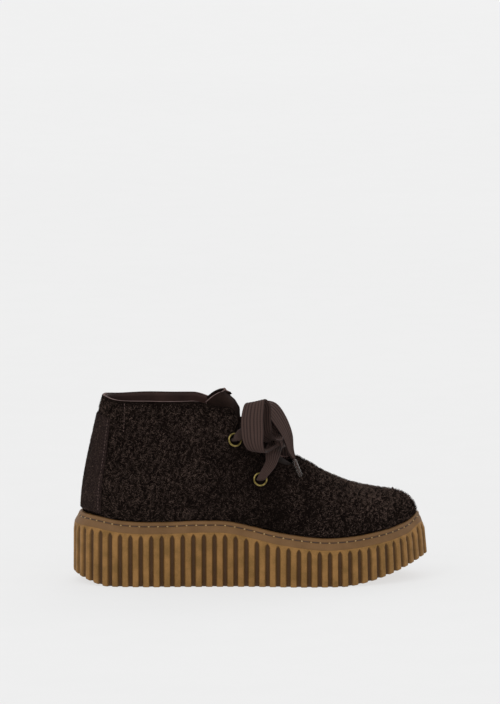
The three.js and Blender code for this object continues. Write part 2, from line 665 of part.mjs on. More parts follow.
// Lace bar outside across the lower eyelets, its two crossing runs under the quarters, and the leads from the upper eyelets to the knot.
function makeLacing() {
  const bar = ribbon(
    [
      ...threaded(LATERAL, LOWER_EYELET),
      ...BAR.map(({ turn, lift, width }) => over(BAR_STATION, turn, QUARTER_STEP + lift, width)),
      ...BAR.slice(0, -1).reverse().map(({ turn, lift, width }) => over(BAR_STATION, -turn, QUARTER_STEP + lift, width)),
      ...threaded(MEDIAL, LOWER_EYELET).reverse(),
    ],
    26,
  );
  const under = -(WALL + TONGUE_CLEARANCE * 0.42);
  const runs = [LATERAL, MEDIAL].map((side) =>
    ribbon(
      [
        threaded(side, LOWER_EYELET)[0],
        ...[0.36, 0.2, 0, -0.2, -0.36].map((turn, i) => over(0.575 - 0.012 * i, side * turn, under, LACED_WIDTH * 0.6)),
        threaded(-side, UPPER_EYELET)[0],
      ],
      18,
      LACE_THICKNESS * 0.7,
    ),
  );
  const leads = [LATERAL, MEDIAL].map((side) =>
    ribbon(
      [
        ...threaded(side, UPPER_EYELET),
        ...LEAD.map(({ at, turn, lift, width }) => over(at, side * turn, QUARTER_STEP + lift, width)),
      ],
      12,
    ),
  );
  return wasm.Manifold.union([bar, ...runs, ...leads]);
}

const KNOT_TURN = -0.2;
const knotPlace = () => instep(0.583, KNOT_TURN, QUARTER_STEP + 3.5 + KNOT_HEIGHT / 2);

function makeKnot() {
  const { point, normal } = knotPlace();
  const along = new THREE.Vector3(0, 1, 0).cross(normal).normalize();
  const lump = new THREE.SphereGeometry(0.5, 12, 8).scale(KNOT_LENGTH, KNOT_HEIGHT, KNOT_HEIGHT * 1.2);
  const frame = new THREE.Matrix4().makeBasis(along.clone().cross(normal).negate(), normal, along);
  return toSolid(lump.applyMatrix4(frame).translate(point.x, point.y, point.z));
}

// Free lace beside the knot. x, y, z: mm from the knot's middle; ax, ay, az: direction of its width.
const LATERAL_LOOP = [
  { x: -2.1, y: -7.3, z: -2.9, width: 4, ax: 0.84, ay: -0.2, az: 0.4 },
  { x: -8, y: -12.8, z: -5, width: 6, ax: 0.84, ay: -0.54, az: 0 },
  { x: -13, y: -17.8, z: -5.5, width: 11, ax: 0.84, ay: -0.54, az: 0 },
  { x: -16.5, y: -22.3, z: -4, width: 15, ax: 0.84, ay: -0.54, az: 0 },
  { x: -19, y: -23.8, z: 1.5, width: 18, ax: 0.84, ay: -0.54, az: 0 },
  { x: -20, y: -22.3, z: 10.5, width: 19, ax: 0.9, ay: -0.44, az: 0 },
  { x: -20, y: -19.3, z: 21.5, width: 19, ax: 0.9, ay: -0.44, az: 0 },
  { x: -18, y: -13.8, z: 29, width: 18, ax: 0.88, ay: -0.48, az: 0 },
  { x: -14.5, y: -8.8, z: 26, width: 14, ax: 0.84, ay: -0.54, az: 0 },
  { x: -12.5, y: -6.3, z: 17, width: 10, ax: 0.84, ay: -0.54, az: 0 },
  { x: -9.5, y: -5.3, z: 8.5, width: 6, ax: 0.84, ay: -0.54, az: 0 },
  { x: -2.7, y: -5.4, z: 3.1, width: 4, ax: 0.84, ay: -0.54, az: 0 },
];
const MEDIAL_LOOP = [
  { x: 1, y: 8.7, z: 4.7, width: 4, ax: 0.9, ay: 0.3, az: 0 },
  { x: -4, y: 15.2, z: 8.5, width: 6, ax: 0.9, ay: 0.44, az: 0 },
  { x: -7.5, y: 23.2, z: 9.5, width: 12, ax: 0.9, ay: 0.44, az: 0 },
  { x: -10.5, y: 36.7, z: 7, width: 17, ax: 0.9, ay: 0.44, az: 0 },
  { x: -13.5, y: 48.7, z: 6, width: 18, ax: 0.9, ay: 0.44, az: 0 },
  { x: -14.5, y: 52.2, z: 13, width: 19, ax: 0.92, ay: 0.38, az: 0 },
  { x: -12.5, y: 44.2, z: 20, width: 17, ax: 0.9, ay: 0.44, az: 0 },
  { x: -9.5, y: 29.2, z: 19.5, width: 12, ax: 0.9, ay: 0.44, az: 0 },
  { x: -3.5, y: 16.2, z: 14.5, width: 6, ax: 0.9, ay: 0.44, az: 0 },
  { x: 0.8, y: 6, z: 8.5, width: 4, ax: 0.9, ay: 0.3, az: 0 },
];
const LATERAL_END = [
  { x: -0.9, y: -0.2, z: 6.1, width: 5, ax: -0.3, ay: 0.9, az: 0.2 },
  { x: -3.5, y: 0.7, z: 10.5, width: 7, ax: -0.3, ay: 0.9, az: 0.2 },
  { x: -7.5, y: 2.7, z: 16.5, width: 11, ax: -0.3, ay: 0.9, az: 0.2 },
  { x: -10.5, y: 2.2, z: 23.5, width: 14, ax: -0.2, ay: 0.9, az: 0.3 },
  { x: -9, y: 1.2, z: 28, width: 17, ax: 0, ay: 0.92, az: 0.38 },
  { x: -3, y: 1.2, z: 25.5, width: 18, ax: 0.45, ay: 0.84, az: 0.34 },
  { x: 3, y: 1.2, z: 17, width: 17, ax: 0.55, ay: 0.8, az: 0.25 },
  { x: 8, y: 0.7, z: 4.5, width: 13, ax: 0.55, ay: 0.8, az: 0.2 },
  { x: 9.5, y: -0.3, z: -7.5, width: 8, ax: 0.5, ay: 0.85, az: 0.2 },
  { x: 12, y: -1.8, z: -13.5, width: 3.2, ax: 0.4, ay: 0.8, az: 0.4 },
];
const MEDIAL_END = [
  { x: 4.4, y: 7.6, z: 2.4, width: 4, ax: 0.8, ay: 0.3, az: 0.4 },
  { x: 4, y: 22.2, z: 7.5, width: 9, ax: 0.8, ay: 0.2, az: 0.3 },
  { x: 3, y: 36.7, z: 4.5, width: 13, ax: 0.85, ay: 0, az: 0.3 },
  { x: 3, y: 50.2, z: -6.5, width: 16, ax: 0.85, ay: 0, az: 0.3 },
  { x: 4.5, y: 60.7, z: -22, width: 14, ax: 0.9, ay: 0, az: 0.3 },
  { x: 7, y: 65, z: -38.5, width: 9, ax: 0.9, ay: 0, az: 0.3 },
  { x: 9, y: 67.5, z: -49, width: 3.2, ax: 0.9, ay: 0, az: 0.3 },
];

function freeLace(rows, pieces) {
  const start = knotPlace().point;
  return ribbon(
    rows.map((row) => ({
      place: new THREE.Vector3(row.x, row.y, row.z).add(start),
      width: row.width * (LACE_WIDTH / 19),
      across: new THREE.Vector3(row.ax, row.ay, row.az),
    })),
    pieces,
  );
}

// Clear tip on the end of a lace, carrying on in the lace's last direction.
function makeAglet(rows, droop) {
  const [before, last] = rows.slice(-2).map((row) => new THREE.Vector3(row.x, row.y, row.z));
  const along = last.clone().sub(before).add(droop).normalize();
  const start = last.clone().add(knotPlace().point).addScaledVector(along, GAP * 2.4);
  const turn = new THREE.Quaternion().setFromUnitVectors(new THREE.Vector3(0, 1, 0), along);
  const tip = new THREE.CylinderGeometry(AGLET_RADIUS, AGLET_RADIUS, AGLET_LENGTH, 10).translate(0, AGLET_LENGTH / 2, 0);
  return toSolid(tip.applyQuaternion(turn).translate(start.x, start.y, start.z));
}

const COLOURS = {
  outsole: 0x6f5435,
  midsole: 0x7a5c3c,
  upper: 0x1f1815,
  insole: 0x4a3226,
  tongue: 0x231a16,
  backstay: 0x2a1e1a,
  eyelet: 0x8a744a,
  lace: 0x41322f,
  aglet: 0xb9b4ae,
};

const pieces = [
  ["outsole", makeOutsole(), COLOURS.outsole, 0.75, 0],
  ["midsole", makeMidsole(), COLOURS.midsole, 0.6, 0],
  ["upper", makeUpper(), COLOURS.upper, 0.95, 0],
  ["insole", makeInsole(), COLOURS.insole, 0.8, 0],
  ["tongue", makeTongue(), COLOURS.tongue, 0.6, 0],
  ["backstay", makeBackstay(), COLOURS.backstay, 0.7, 0],
];
for (const side of [LATERAL, MEDIAL])
  for (const eyelet of EYELETS) {
    const name = `eyelet_${side === LATERAL ? "lateral" : "medial"}_${eyelet.name}`;
    pieces.push([name, makeEyelet(side, eyelet), COLOURS.eyelet, 0.4, 0.9]);
  }

pieces.push(
  ["lacing", makeLacing(), COLOURS.lace, 0.9, 0],
  ["knot", makeKnot(), COLOURS.lace, 0.9, 0],
  ["loop_lateral", freeLace(LATERAL_LOOP, 24), COLOURS.lace, 0.9, 0],
  ["loop_medial", freeLace(MEDIAL_LOOP, 22), COLOURS.lace, 0.9, 0],
  ["end_lateral", freeLace(LATERAL_END, 22), COLOURS.lace, 0.9, 0],
  ["end_medial", freeLace(MEDIAL_END, 16), COLOURS.lace, 0.9, 0],
  ["aglet_lateral", makeAglet(LATERAL_END, new THREE.Vector3(1, -3, -2)), COLOURS.aglet, 0.3, 0],
  ["aglet_medial", makeAglet(MEDIAL_END, new THREE.Vector3(0, 0, 0)), COLOURS.aglet, 0.3, 0],
);
const FREE_LACE = /^(knot|loop|end|aglet)/;

function toMesh(name, solid, color, roughness, metalness) {
  const made = solid.getMesh();
  const geometry = new THREE.BufferGeometry();
  const points = [];
  for (let i = 0; i < made.numVert; i++)
    points.push(...made.vertProperties.subarray(i * made.numProp, i * made.numProp + 3));
  geometry.setAttribute("position", new THREE.Float32BufferAttribute(points, 3));
  geometry.setIndex([...made.triVerts]);
  geometry.computeVertexNormals();
  const mesh = new THREE.Mesh(geometry, new THREE.MeshStandardMaterial({ color, roughness, metalness }));
  mesh.name = name;
  return mesh;
}

const shoe = new THREE.Group();
shoe.name = "lace_up_shoe";
for (const piece of pieces) shoe.add(toMesh(...piece));

// The origin is under the middle of the shoe, on the floor.
const box = new THREE.Box3();
for (const mesh of shoe.children) if (!FREE_LACE.test(mesh.name)) box.expandByObject(mesh);
const middle = box.getCenter(new THREE.Vector3());
for (const mesh of shoe.children) mesh.geometry.translate(-middle.x, -middle.y, -box.min.z);

export default shoe;
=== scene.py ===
"""Lace-up ankle shoe on a ribbed platform sole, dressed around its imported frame.

Forms are worked out in millimetres from the back of the heel, in the frame's directions:
toe towards +X, outer (lateral) side towards -Y, up +Z. `to_frame` moves them into the frame.
"""

from __future__ import annotations

import logging
import math
from dataclasses import dataclass, field
from enum import Enum
from typing import Any, Callable, Sequence

import bmesh
import bpy
import numpy as np
from mathutils import Matrix, Vector

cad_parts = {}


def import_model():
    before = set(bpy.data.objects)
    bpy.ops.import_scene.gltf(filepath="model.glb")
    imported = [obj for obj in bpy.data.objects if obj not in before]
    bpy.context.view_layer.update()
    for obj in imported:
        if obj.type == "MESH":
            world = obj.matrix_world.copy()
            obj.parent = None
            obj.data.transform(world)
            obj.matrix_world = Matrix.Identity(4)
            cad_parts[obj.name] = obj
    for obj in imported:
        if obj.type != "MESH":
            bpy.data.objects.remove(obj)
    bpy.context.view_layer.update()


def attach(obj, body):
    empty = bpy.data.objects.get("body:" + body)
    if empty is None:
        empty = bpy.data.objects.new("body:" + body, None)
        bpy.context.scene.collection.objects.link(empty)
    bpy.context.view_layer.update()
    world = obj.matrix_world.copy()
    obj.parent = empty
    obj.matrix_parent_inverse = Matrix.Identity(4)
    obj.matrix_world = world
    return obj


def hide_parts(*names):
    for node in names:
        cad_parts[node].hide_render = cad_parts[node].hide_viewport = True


LOG = logging.getLogger("shoe")
Array = np.ndarray
Shape = bmesh.types.BMesh
Piece = bpy.types.Object
Tree = bpy.types.NodeTree
Node = bpy.types.Node
Socket = bpy.types.NodeSocket

ORIGIN = np.array([137.9, 8.87, 0.0])  # under the middle of the shoe, from the back of the heel

SOLE_LENGTH = 276.0  # mm, as all sizes here
SOLE_WIDTH = 103.0
PLATFORM_HEIGHT = 55.0
UPPER_HEIGHT = 92.0
WALL = 2.2
QUARTER_STEP = 1.2
GAP = 0.3
SEAT = 1.6 * GAP  # between the platform and the upper
TONGUE_CLEARANCE = 4.8  # between the upper's wall and the tongue
THROAT_TOP = 0.495  # stations, as shares of the half turn from heel to toe
THROAT_BOTTOM = 0.645
HEEL_BEVEL = (26.0, 8.0)  # its length and height
TOE_SPRING = (0.24, 18.0)  # its share of the sole's length, and its height
MM = 0.001  # metres
CREASE_HEIGHT = 80.0  # height that a crease's share of the way up is taken of
NUDGE = 0.002  # share of a curve over which its direction is measured


class Side(Enum):
    """The shoe's two sides, with their sign along Y."""

    LATERAL = -1
    MEDIAL = 1


class Table:
    """Rows of named columns, read along a smooth curve through them."""

    def __init__(self, columns: str, *rows: Sequence[float]) -> None:
        """Keeps the columns and works out their slopes.

        Args:
            columns: the columns' names; the first is the one the others are read along.
            rows: one value for each column.
        """
        names = columns.split()
        values = np.array(rows, dtype=float).T
        self.along = values[0]
        self.values = dict(zip(names, values))
        self.slopes = {name: self._slope(values[0], column) for name, column in zip(names, values)}

    @staticmethod
    def _slope(x: Array, y: Array) -> Array:
        """Slope of the curve at each row."""
        step = np.diff(y) / np.diff(x)
        before, after = np.diff(x)[:-1], np.diff(x)[1:]
        inner = (step[:-1] * after + step[1:] * before) / (before + after)
        return np.concatenate([step[:1], inner, step[-1:]])

    def read(self, column: str, at: Array) -> Array:
        """Value of a column.

        Args:
            column: its name.
            at: where along the first column.

        Returns:
            The value at each place.
        """
        x, y, m = self.along, self.values[column], self.slopes[column]
        i = np.clip(np.searchsorted(x, at) - 1, 0, len(x) - 2)
        span = x[i + 1] - x[i]
        t = (at - x[i]) / span
        return (
            y[i] * (2 * t**3 - 3 * t**2 + 1)
            + span * m[i] * (t**3 - 2 * t**2 + t)
            + y[i + 1] * (3 * t**2 - 2 * t**3)
            + span * m[i + 1] * (t**3 - t**2)
        )


# Sole outline over the ribs, as shares of the sole's width.
OUTLINE = Table(
    "at lateral medial",
    (0, 0, 0), (0.05, -0.115, 0.115), (0.1, -0.218, 0.218), (0.15, -0.301, 0.299),
    (0.2, -0.359, 0.355), (0.3, -0.398, 0.394), (0.4, -0.383, 0.41), (0.5, -0.378, 0.474),
    (0.6, -0.415, 0.565), (0.65, -0.405, 0.586), (0.7, -0.362, 0.581), (0.75, -0.291, 0.552),
    (0.8, -0.194, 0.508), (0.85, -0.078, 0.445), (0.9, 0.045, 0.373), (0.95, 0.142, 0.3),
    (1, 0.223, 0.223),
)
# Platform top seen from the side, as shares of its height.
PLATFORM_TOP = Table(
    "at rise",
    (0, 1), (0.072, 0.975), (0.116, 0.938), (0.16, 0.916), (0.254, 0.909), (0.359, 0.925),
    (0.438, 0.913), (0.496, 0.853), (0.565, 0.769), (0.638, 0.711), (0.707, 0.676),
    (0.775, 0.685), (0.848, 0.727), (0.917, 0.79), (0.953, 0.848), (0.971, 0.915), (1, 0.965),
)
# How far the sole's side leans in, and where the upper starts, mm from the outline.
SIDE = Table(
    "at head foot lip upper",
    (0, 0.2, 0.9, 5.6, 8.4), (0.25, 0.7, 2, 6.2, 8.6), (0.5, 0.9, 2.6, 6.6, 8.6),
    (0.8, 1.4, 3.4, 7.2, 8.4), (1, 1.9, 4.3, 7.6, 8.7),
)
# Line that closes the upper's form: the collar, then the ridge down to the toe.
# kept: where the throat cuts it.
TOP_LINE = Table(
    "at along centre half up kept",
    (0, 0.086, 0, 0, 1, 1), (0.1, 0.095, 0, 0.1, 1.005, 1), (0.2, 0.128, 0, 0.208, 1.005, 1),
    (0.3, 0.21, 0, 0.272, 1.02, 1), (0.38, 0.322, 0.007, 0.262, 1.01, 1),
    (0.43, 0.386, 0.014, 0.217, 1.005, 1), (0.45, 0.411, 0.019, 0.177, 1, 1),
    (0.47, 0.434, 0.024, 0.118, 0.995, 1), (0.485, 0.448, 0.027, 0.06, 0.985, 0.96),
    (0.495, 0.456, 0.03, 0, 0.975, 0.89), (0.52, 0.478, 0.036, 0, 0.9, 0.79),
    (0.545, 0.51, 0.044, 0, 0.835, 0.72), (0.575, 0.546, 0.053, 0, 0.768, 0.67),
    (0.6, 0.574, 0.062, 0, 0.71, 0.67), (0.62, 0.598, 0.069, 0, 0.663, 0.75),
    (0.635, 0.618, 0.075, 0, 0.63, 0.87), (0.645, 0.632, 0.079, 0, 0.612, 1),
    (0.7, 0.696, 0.097, 0, 0.52, 1), (0.75, 0.75, 0.115, 0, 0.433, 1),
    (0.8, 0.797, 0.132, 0, 0.375, 1), (0.85, 0.837, 0.149, 0, 0.336, 1),
    (0.9, 0.868, 0.165, 0, 0.308, 1), (0.95, 0.892, 0.178, 0, 0.284, 1),
    (1, 0.903, 0.187, 0, 0.276, 1),
)
# Fullness of the upper's side, as shares of the sole's width and of the upper's height.
FULLNESS = Table(
    "at low_out low_up high_out high_down",
    (0, 0, 0.3, 0.052, 0.33), (0.1, 0.016, 0.31, 0.036, 0.33), (0.2, 0.04, 0.32, 0, 0.34),
    (0.3, 0.052, 0.32, -0.014, 0.36), (0.38, 0.052, 0.31, 0, 0.34), (0.43, 0.05, 0.3, 0.05, 0.28),
    (0.45, 0.05, 0.29, 0.094, 0.23), (0.47, 0.05, 0.28, 0.155, 0.17),
    (0.495, 0.05, 0.27, 0.262, 0.11), (0.52, 0.05, 0.26, 0.265, 0.075),
    (0.545, 0.05, 0.24, 0.267, 0.06), (0.575, 0.048, 0.22, 0.267, 0.055),
    (0.6, 0.046, 0.205, 0.267, 0.05), (0.62, 0.045, 0.195, 0.266, 0.045),
    (0.645, 0.044, 0.185, 0.263, 0.04), (0.7, 0.042, 0.17, 0.255, 0.03),
    (0.8, 0.034, 0.14, 0.215, 0.012), (0.9, 0.022, 0.11, 0.15, 0.006),
    (0.95, 0.01, 0.09, 0.115, 0.005), (1, -0.004, 0.07, 0.1, 0.005),
)
# Front edge of the quarters: share of the sole's length, share of the upper's height.
QUARTER_EDGE = np.array([
    (0.47, -0.05), (0.5, 0.01), (0.533, 0.045), (0.572, 0.11), (0.611, 0.195), (0.634, 0.243),
    (0.651, 0.287), (0.655, 0.345), (0.648, 0.41), (0.63, 0.482), (0.607, 0.55), (0.57, 0.8),
    (0.48, 1.2),
])
# Tongue, bottom to top: stations of its middle and edges, how far it wraps, mm above the form.
TONGUE = Table(
    "row middle edge wrap rise",
    (0, 0.7, 0.67, 0.3, 0), (1, 0.675, 0.64, 0.34, 0), (2, 0.645, 0.61, 0.38, 0),
    (3, 0.62, 0.58, 0.4, 0), (4, 0.595, 0.552, 0.42, 0), (5, 0.57, 0.527, 0.42, 0),
    (6, 0.545, 0.5, 0.4, 0), (7, 0.522, 0.475, 0.34, 0), (8, 0.505, 0.455, 0.25, 0),
    (9, 0.497, 0.443, 0.16, 1), (10, 0.497, 0.437, 0.11, 4.5), (11, 0.497, 0.433, 0.08, 8.5),
    (12, 0.497, 0.43, 0.06, 12),
)


def to_frame(points: Array) -> Array:
    """Millimetres from the heel to metres in the frame."""
    return (points - ORIGIN) / 1000


def station_x(at: Array | float) -> Array:
    """Distance of a station from the heel."""
    return SOLE_LENGTH * (1 - np.cos(np.pi * at)) / 2


def smooth(share: Array) -> Array:
    """Share from 0 to 1, eased in and out."""
    return share**2 * (3 - 2 * share)


def distances(points: Array) -> Array:
    """Distance of each point along a line, from its first point."""
    return np.concatenate([[0], np.cumsum(np.linalg.norm(np.diff(points, axis=0), axis=1))])


def unit(vectors: Array) -> Array:
    """Vectors of length one."""
    return vectors / np.maximum(np.linalg.norm(vectors, axis=-1, keepdims=True), 1e-9)


def top_height(x: Array) -> Array:
    """Height of the platform's top at a distance from the heel."""
    return PLATFORM_HEIGHT * PLATFORM_TOP.read("rise", np.clip(x / SOLE_LENGTH, 0, 1))


def bottom_height(x: Array) -> Array:
    """Height of the sole's underside: bevelled at the heel, sprung at the toe."""
    (bevel, back_rise), (spring, front_rise) = HEEL_BEVEL, TOE_SPRING
    back = np.maximum(0, 1 - x / bevel)
    front = np.maximum(0, (x / SOLE_LENGTH - (1 - spring)) / spring)
    return back_rise * back**1.3 + front_rise * front**1.55


def quarter_front(z: Array) -> Array:
    """Distance of the quarters' front edge from the heel at a height."""
    x = SOLE_LENGTH * QUARTER_EDGE[:, 0]
    return np.interp(z, top_height(x) + UPPER_HEIGHT * QUARTER_EDGE[:, 1], x)


def outline(side: Array, at: Array, inset: Array | float) -> tuple[Array, Array]:
    """Point of the sole's outline moved in by an inset.

    Args:
        side: -1 on the lateral side, 1 on the medial side.
        at: share of the half turn from heel to toe.
        inset: mm inwards.

    Returns:
        The points and the outward directions, as pairs of x and y.
    """

    def place(t: Array) -> Array:
        """Point of the outline itself."""
        across = np.where(side < 0, OUTLINE.read("lateral", t), OUTLINE.read("medial", t))
        return np.stack([station_x(t), SOLE_WIDTH * across], -1)

    along = place(np.minimum(at + NUDGE, 1)) - place(np.maximum(at - NUDGE, 0))
    along[..., 0] = np.where((at <= 0) | (at >= 1), 0, along[..., 0])
    out = unit(np.stack([along[..., 1], -along[..., 0]], -1)) * -np.asarray(side)[..., None]
    return place(at) - out * np.broadcast_to(inset, at.shape)[..., None], out


def across_sole(at: Array, v: Array, inset: Array) -> Array:
    """Points x and y within the outline; v runs from its lateral side to its medial side."""
    left, right = (outline(np.full_like(at, side.value), at, inset)[0] for side in Side)
    return left + (right - left) * v[:, None]


@dataclass(frozen=True)
class Crease:
    """A soft fold placed on the upper's surface."""

    side: Side
    start: tuple[float, float]  # station and share of the way up
    end: tuple[float, float]
    width: float  # mm
    depth: float  # mm, negative for a ridge


CREASES = (
    Crease(Side.LATERAL, (0.70, 0.98), (0.64, 0.30), 5.0, 1.0),
    Crease(Side.LATERAL, (0.665, 0.96), (0.66, 0.45), 4.0, -0.6),
    Crease(Side.LATERAL, (0.74, 0.9), (0.69, 0.35), 6.0, 0.8),
    Crease(Side.MEDIAL, (0.71, 0.98), (0.66, 0.3), 5.0, 1.0),
    Crease(Side.MEDIAL, (0.67, 0.95), (0.64, 0.4), 5.0, -0.6),
    Crease(Side.LATERAL, (0.44, 0.55), (0.36, 0.25), 9.0, 0.9),
    Crease(Side.MEDIAL, (0.46, 0.6), (0.38, 0.25), 9.0, 1.0),
    Crease(Side.LATERAL, (0.3, 0.86), (0.42, 0.8), 8.0, 0.9),
    Crease(Side.MEDIAL, (0.28, 0.86), (0.42, 0.8), 8.0, 0.9),
    Crease(Side.LATERAL, (0.16, 0.5), (0.27, 0.4), 9.0, 0.7),
)


def slack(side: Array, at: Array, v: Array) -> Array:
    """How far the creases push the upper's surface in, mm."""
    place = np.stack([station_x(at), CREASE_HEIGHT * v], -1)
    total = np.zeros(np.broadcast(side, at, v).shape)
    for crease in CREASES:
        ends = (crease.start, crease.end)
        a, b = (np.array([station_x(s), CREASE_HEIGHT * share]) for s, share in ends)
        along = np.clip(((place - a) @ (b - a)) / ((b - a) @ (b - a)), 0, 1)
        bow = 2.5 * np.sin(np.pi * along)[..., None] * np.array([1.0, 0.2])
        away = np.linalg.norm(place - (a + along[..., None] * (b - a) + bow), axis=-1)
        fade = np.where(np.asarray(side) == crease.side.value, 1.0, 0.0)
        total = total + fade * crease.depth * np.exp(-((away / crease.width) ** 2))
    return total


def form_point(side: Array, at: Array, t: Array) -> Array:
    """Point of the closed form under the upper; t runs from the platform to the collar or ridge."""
    side = np.asarray(side, dtype=float) + np.zeros_like(at)
    point, out = outline(side, at, SIDE.read("upper", at))
    low = np.concatenate([point, (top_height(point[..., 0]) + SEAT)[..., None]], -1)
    x = SOLE_LENGTH * TOP_LINE.read("along", at)
    half = np.where(at >= THROAT_TOP, 0, np.maximum(0, TOP_LINE.read("half", at)))
    y = SOLE_WIDTH * (TOP_LINE.read("centre", at) + side * half)
    high = np.stack([x, y, top_height(x) + UPPER_HEIGHT * TOP_LINE.read("up", at)], -1)
    reach = np.concatenate([out, np.zeros_like(out[..., :1])], -1)
    up = np.array([0.0, 0.0, UPPER_HEIGHT])
    lower = low + reach * (SOLE_WIDTH * FULLNESS.read("low_out", at))[..., None]
    lower = lower + up * FULLNESS.read("low_up", at)[..., None]
    upper = high + reach * (SOLE_WIDTH * FULLNESS.read("high_out", at))[..., None]
    upper = upper - up * FULLNESS.read("high_down", at)[..., None]
    s = np.asarray(t)[..., None] + np.zeros_like(low)
    return (
        low * (1 - s) ** 3 + 3 * lower * s * (1 - s) ** 2 + 3 * upper * s**2 * (1 - s) + high * s**3
    )


def form_normal(side: Array, at: Array, t: Array) -> Array:
    """Outward direction of the form. Both sides share it where they meet."""
    side, at, t = (np.array(a, dtype=float) for a in np.broadcast_arrays(side, at, t))

    def one(s: Array) -> Array:
        """Outward direction on one side."""
        e = 2 * NUDGE
        along = form_point(s, np.minimum(at + e, 1), t) - form_point(s, np.maximum(at - e, 0), t)
        up = form_point(s, at, np.minimum(t + e, 1)) - form_point(s, at, np.maximum(t - e, 0))
        return unit(np.cross(along, up) * -s[..., None])

    shared = (at <= 0) | (at >= 1) | ((t >= 1) & (at >= THROAT_TOP))
    both = unit(one(-np.ones_like(at)) + one(np.ones_like(at)))
    return np.where(shared[..., None], both, one(side))


def kept(at: Array, v: Array) -> Array:
    """Share of the way up the form at a share of the way up the upper."""
    return v * np.where(at >= THROAT_BOTTOM, 1, np.minimum(1, TOP_LINE.read("kept", at)))


def dip(at: Array) -> Array:
    """Share of the way up at which the collar runs, a little lower towards the throat."""
    fall = smooth(np.clip((at - 0.39) / 0.08, 0, 1))
    rise = smooth(np.clip((at - 0.505) / 0.03, 0, 1))
    return 1 - 0.085 * fall * (1 - rise)


def around(u: Array) -> tuple[Array, Array]:
    """Side, and share of the way out from the middle, for u from one end to the other."""
    return np.where(u < 0.5, -1.0, 1.0), np.abs(2 * u - 1)


def upper_point(side: Array, at: Array, v: Array, lift: float, creased: bool = True) -> Array:
    """Point at a distance outside the upper's surface, kept off the platform.

    Args:
        side: -1 on the lateral side, 1 on the medial side.
        at: station from heel to toe.
        v: share of the way from the platform to the collar or throat.
        lift: mm outside the surface.
        creased: follow the listed creases.

    Returns:
        The points, mm.
    """
    side, at, v = (np.array(a, dtype=float) for a in np.broadcast_arrays(side, at, v))
    t = kept(at, v)
    away = lift - (slack(side, at, v) * np.sin(np.pi * np.clip(v, 0, 1)) ** 0.5 if creased else 0)
    p = form_point(side, at, t) + form_normal(side, at, t) * np.asarray(away + 0 * at)[..., None]
    p[..., 2] = np.maximum(p[..., 2], top_height(p[..., 0]) + SEAT)
    return p


def instep(station: Array, turn: Array, lift: Array | float) -> Array:
    """Point over the instep; turn is 0 on the ridge and -1 or 1 at the platform's two sides."""
    side = np.where(turn < 0, -1.0, 1.0)
    t = 1 - np.abs(turn)
    normal = form_normal(side, station, t)
    return form_point(side, station, t) + normal * np.asarray(lift + 0 * t)[..., None]


def grid(columns: int, rows: int, place: Callable[[Array, Array], Array]) -> Shape:
    """Grid whose points are moved onto a surface.

    Args:
        columns: faces along u.
        rows: faces along v.
        place: gives mm points for arrays of u and v from 0 to 1.

    Returns:
        The mesh, in the frame, with u and v as its UV map.
    """
    bm = bmesh.new()
    bm.loops.layers.uv.new("UVMap")
    bmesh.ops.create_grid(bm, x_segments=columns, y_segments=rows, size=0.5, calc_uvs=True)
    flat = np.array([v.co[:2] for v in bm.verts]) + 0.5
    for vert, co in zip(bm.verts, to_frame(place(flat[:, 0], flat[:, 1]))):
        vert.co = co
    bmesh.ops.remove_doubles(bm, verts=bm.verts[:], dist=2e-6)
    return bm


def face_out(bm: Shape, inside: Sequence[float]) -> None:
    """Turns an open sheet's faces away from a point, given in mm."""
    bmesh.ops.recalc_face_normals(bm, faces=bm.faces[:])
    middle = Vector(to_frame(np.array(inside, dtype=float)))
    bm.normal_update()
    if sum(f.normal.dot(f.calc_center_median() - middle) * f.calc_area() for f in bm.faces) < 0:
        bmesh.ops.reverse_faces(bm, faces=bm.faces[:])


def close_hoop(bm: Shape) -> None:
    """Joins the two edges of a sheet that goes once round, and turns its faces out."""
    bmesh.ops.bridge_loops(bm, edges=[e for e in bm.edges if e.is_boundary])
    bmesh.ops.recalc_face_normals(bm, faces=bm.faces[:])


def bead(sides: int, rings: int, size: Sequence[float], turn: float = math.pi / 2) -> Shape:
    """Stitch-like bead; size is its half lengths in mm, turn swings its poles from z to x."""
    bm = bmesh.new()
    bmesh.ops.create_uvsphere(bm, u_segments=sides, v_segments=rings, radius=1.0)
    bmesh.ops.rotate(bm, verts=bm.verts[:], matrix=Matrix.Rotation(turn, 3, "Y"))
    bmesh.ops.scale(bm, verts=bm.verts[:], vec=size)
    return bm


def turned(profile: Sequence[tuple[float, float]], steps: int, closed: bool = False) -> Shape:
    """Form turned about z.

    Args:
        profile: radius and height of its points, mm.
        steps: faces once round.
        closed: join the profile's last point to its first.

    Returns:
        The mesh, in mm.
    """
    bm = bmesh.new()
    verts = [bm.verts.new((radius, 0, height)) for radius, height in profile]
    ends = verts[1:] + (verts[:1] if closed else [])
    edges = [bm.edges.new(pair) for pair in zip(verts, ends)]
    bmesh.ops.spin(
        bm, geom=verts + edges, cent=(0, 0, 0), axis=(0, 0, 1), angle=2 * math.pi, steps=steps,
        use_merge=True,
    )
    bmesh.ops.remove_doubles(bm, verts=bm.verts[:], dist=1e-4)
    bmesh.ops.recalc_face_normals(bm, faces=bm.faces[:])
    return bm


def upright(foot: Array, axis: Array) -> Matrix:
    """Matrix that stands a form in mm on a point in mm, with its z along an axis."""
    turn = Vector((0, 0, 1)).rotation_difference(Vector(axis)).to_matrix().to_4x4()
    return Matrix.Translation(Vector(to_frame(foot))) @ turn @ Matrix.Scale(MM, 4)


def link(name: str, data: Any) -> Piece:
    """New object of the scene."""
    piece = bpy.data.objects.new(name, data)
    bpy.context.scene.collection.objects.link(piece)
    return piece


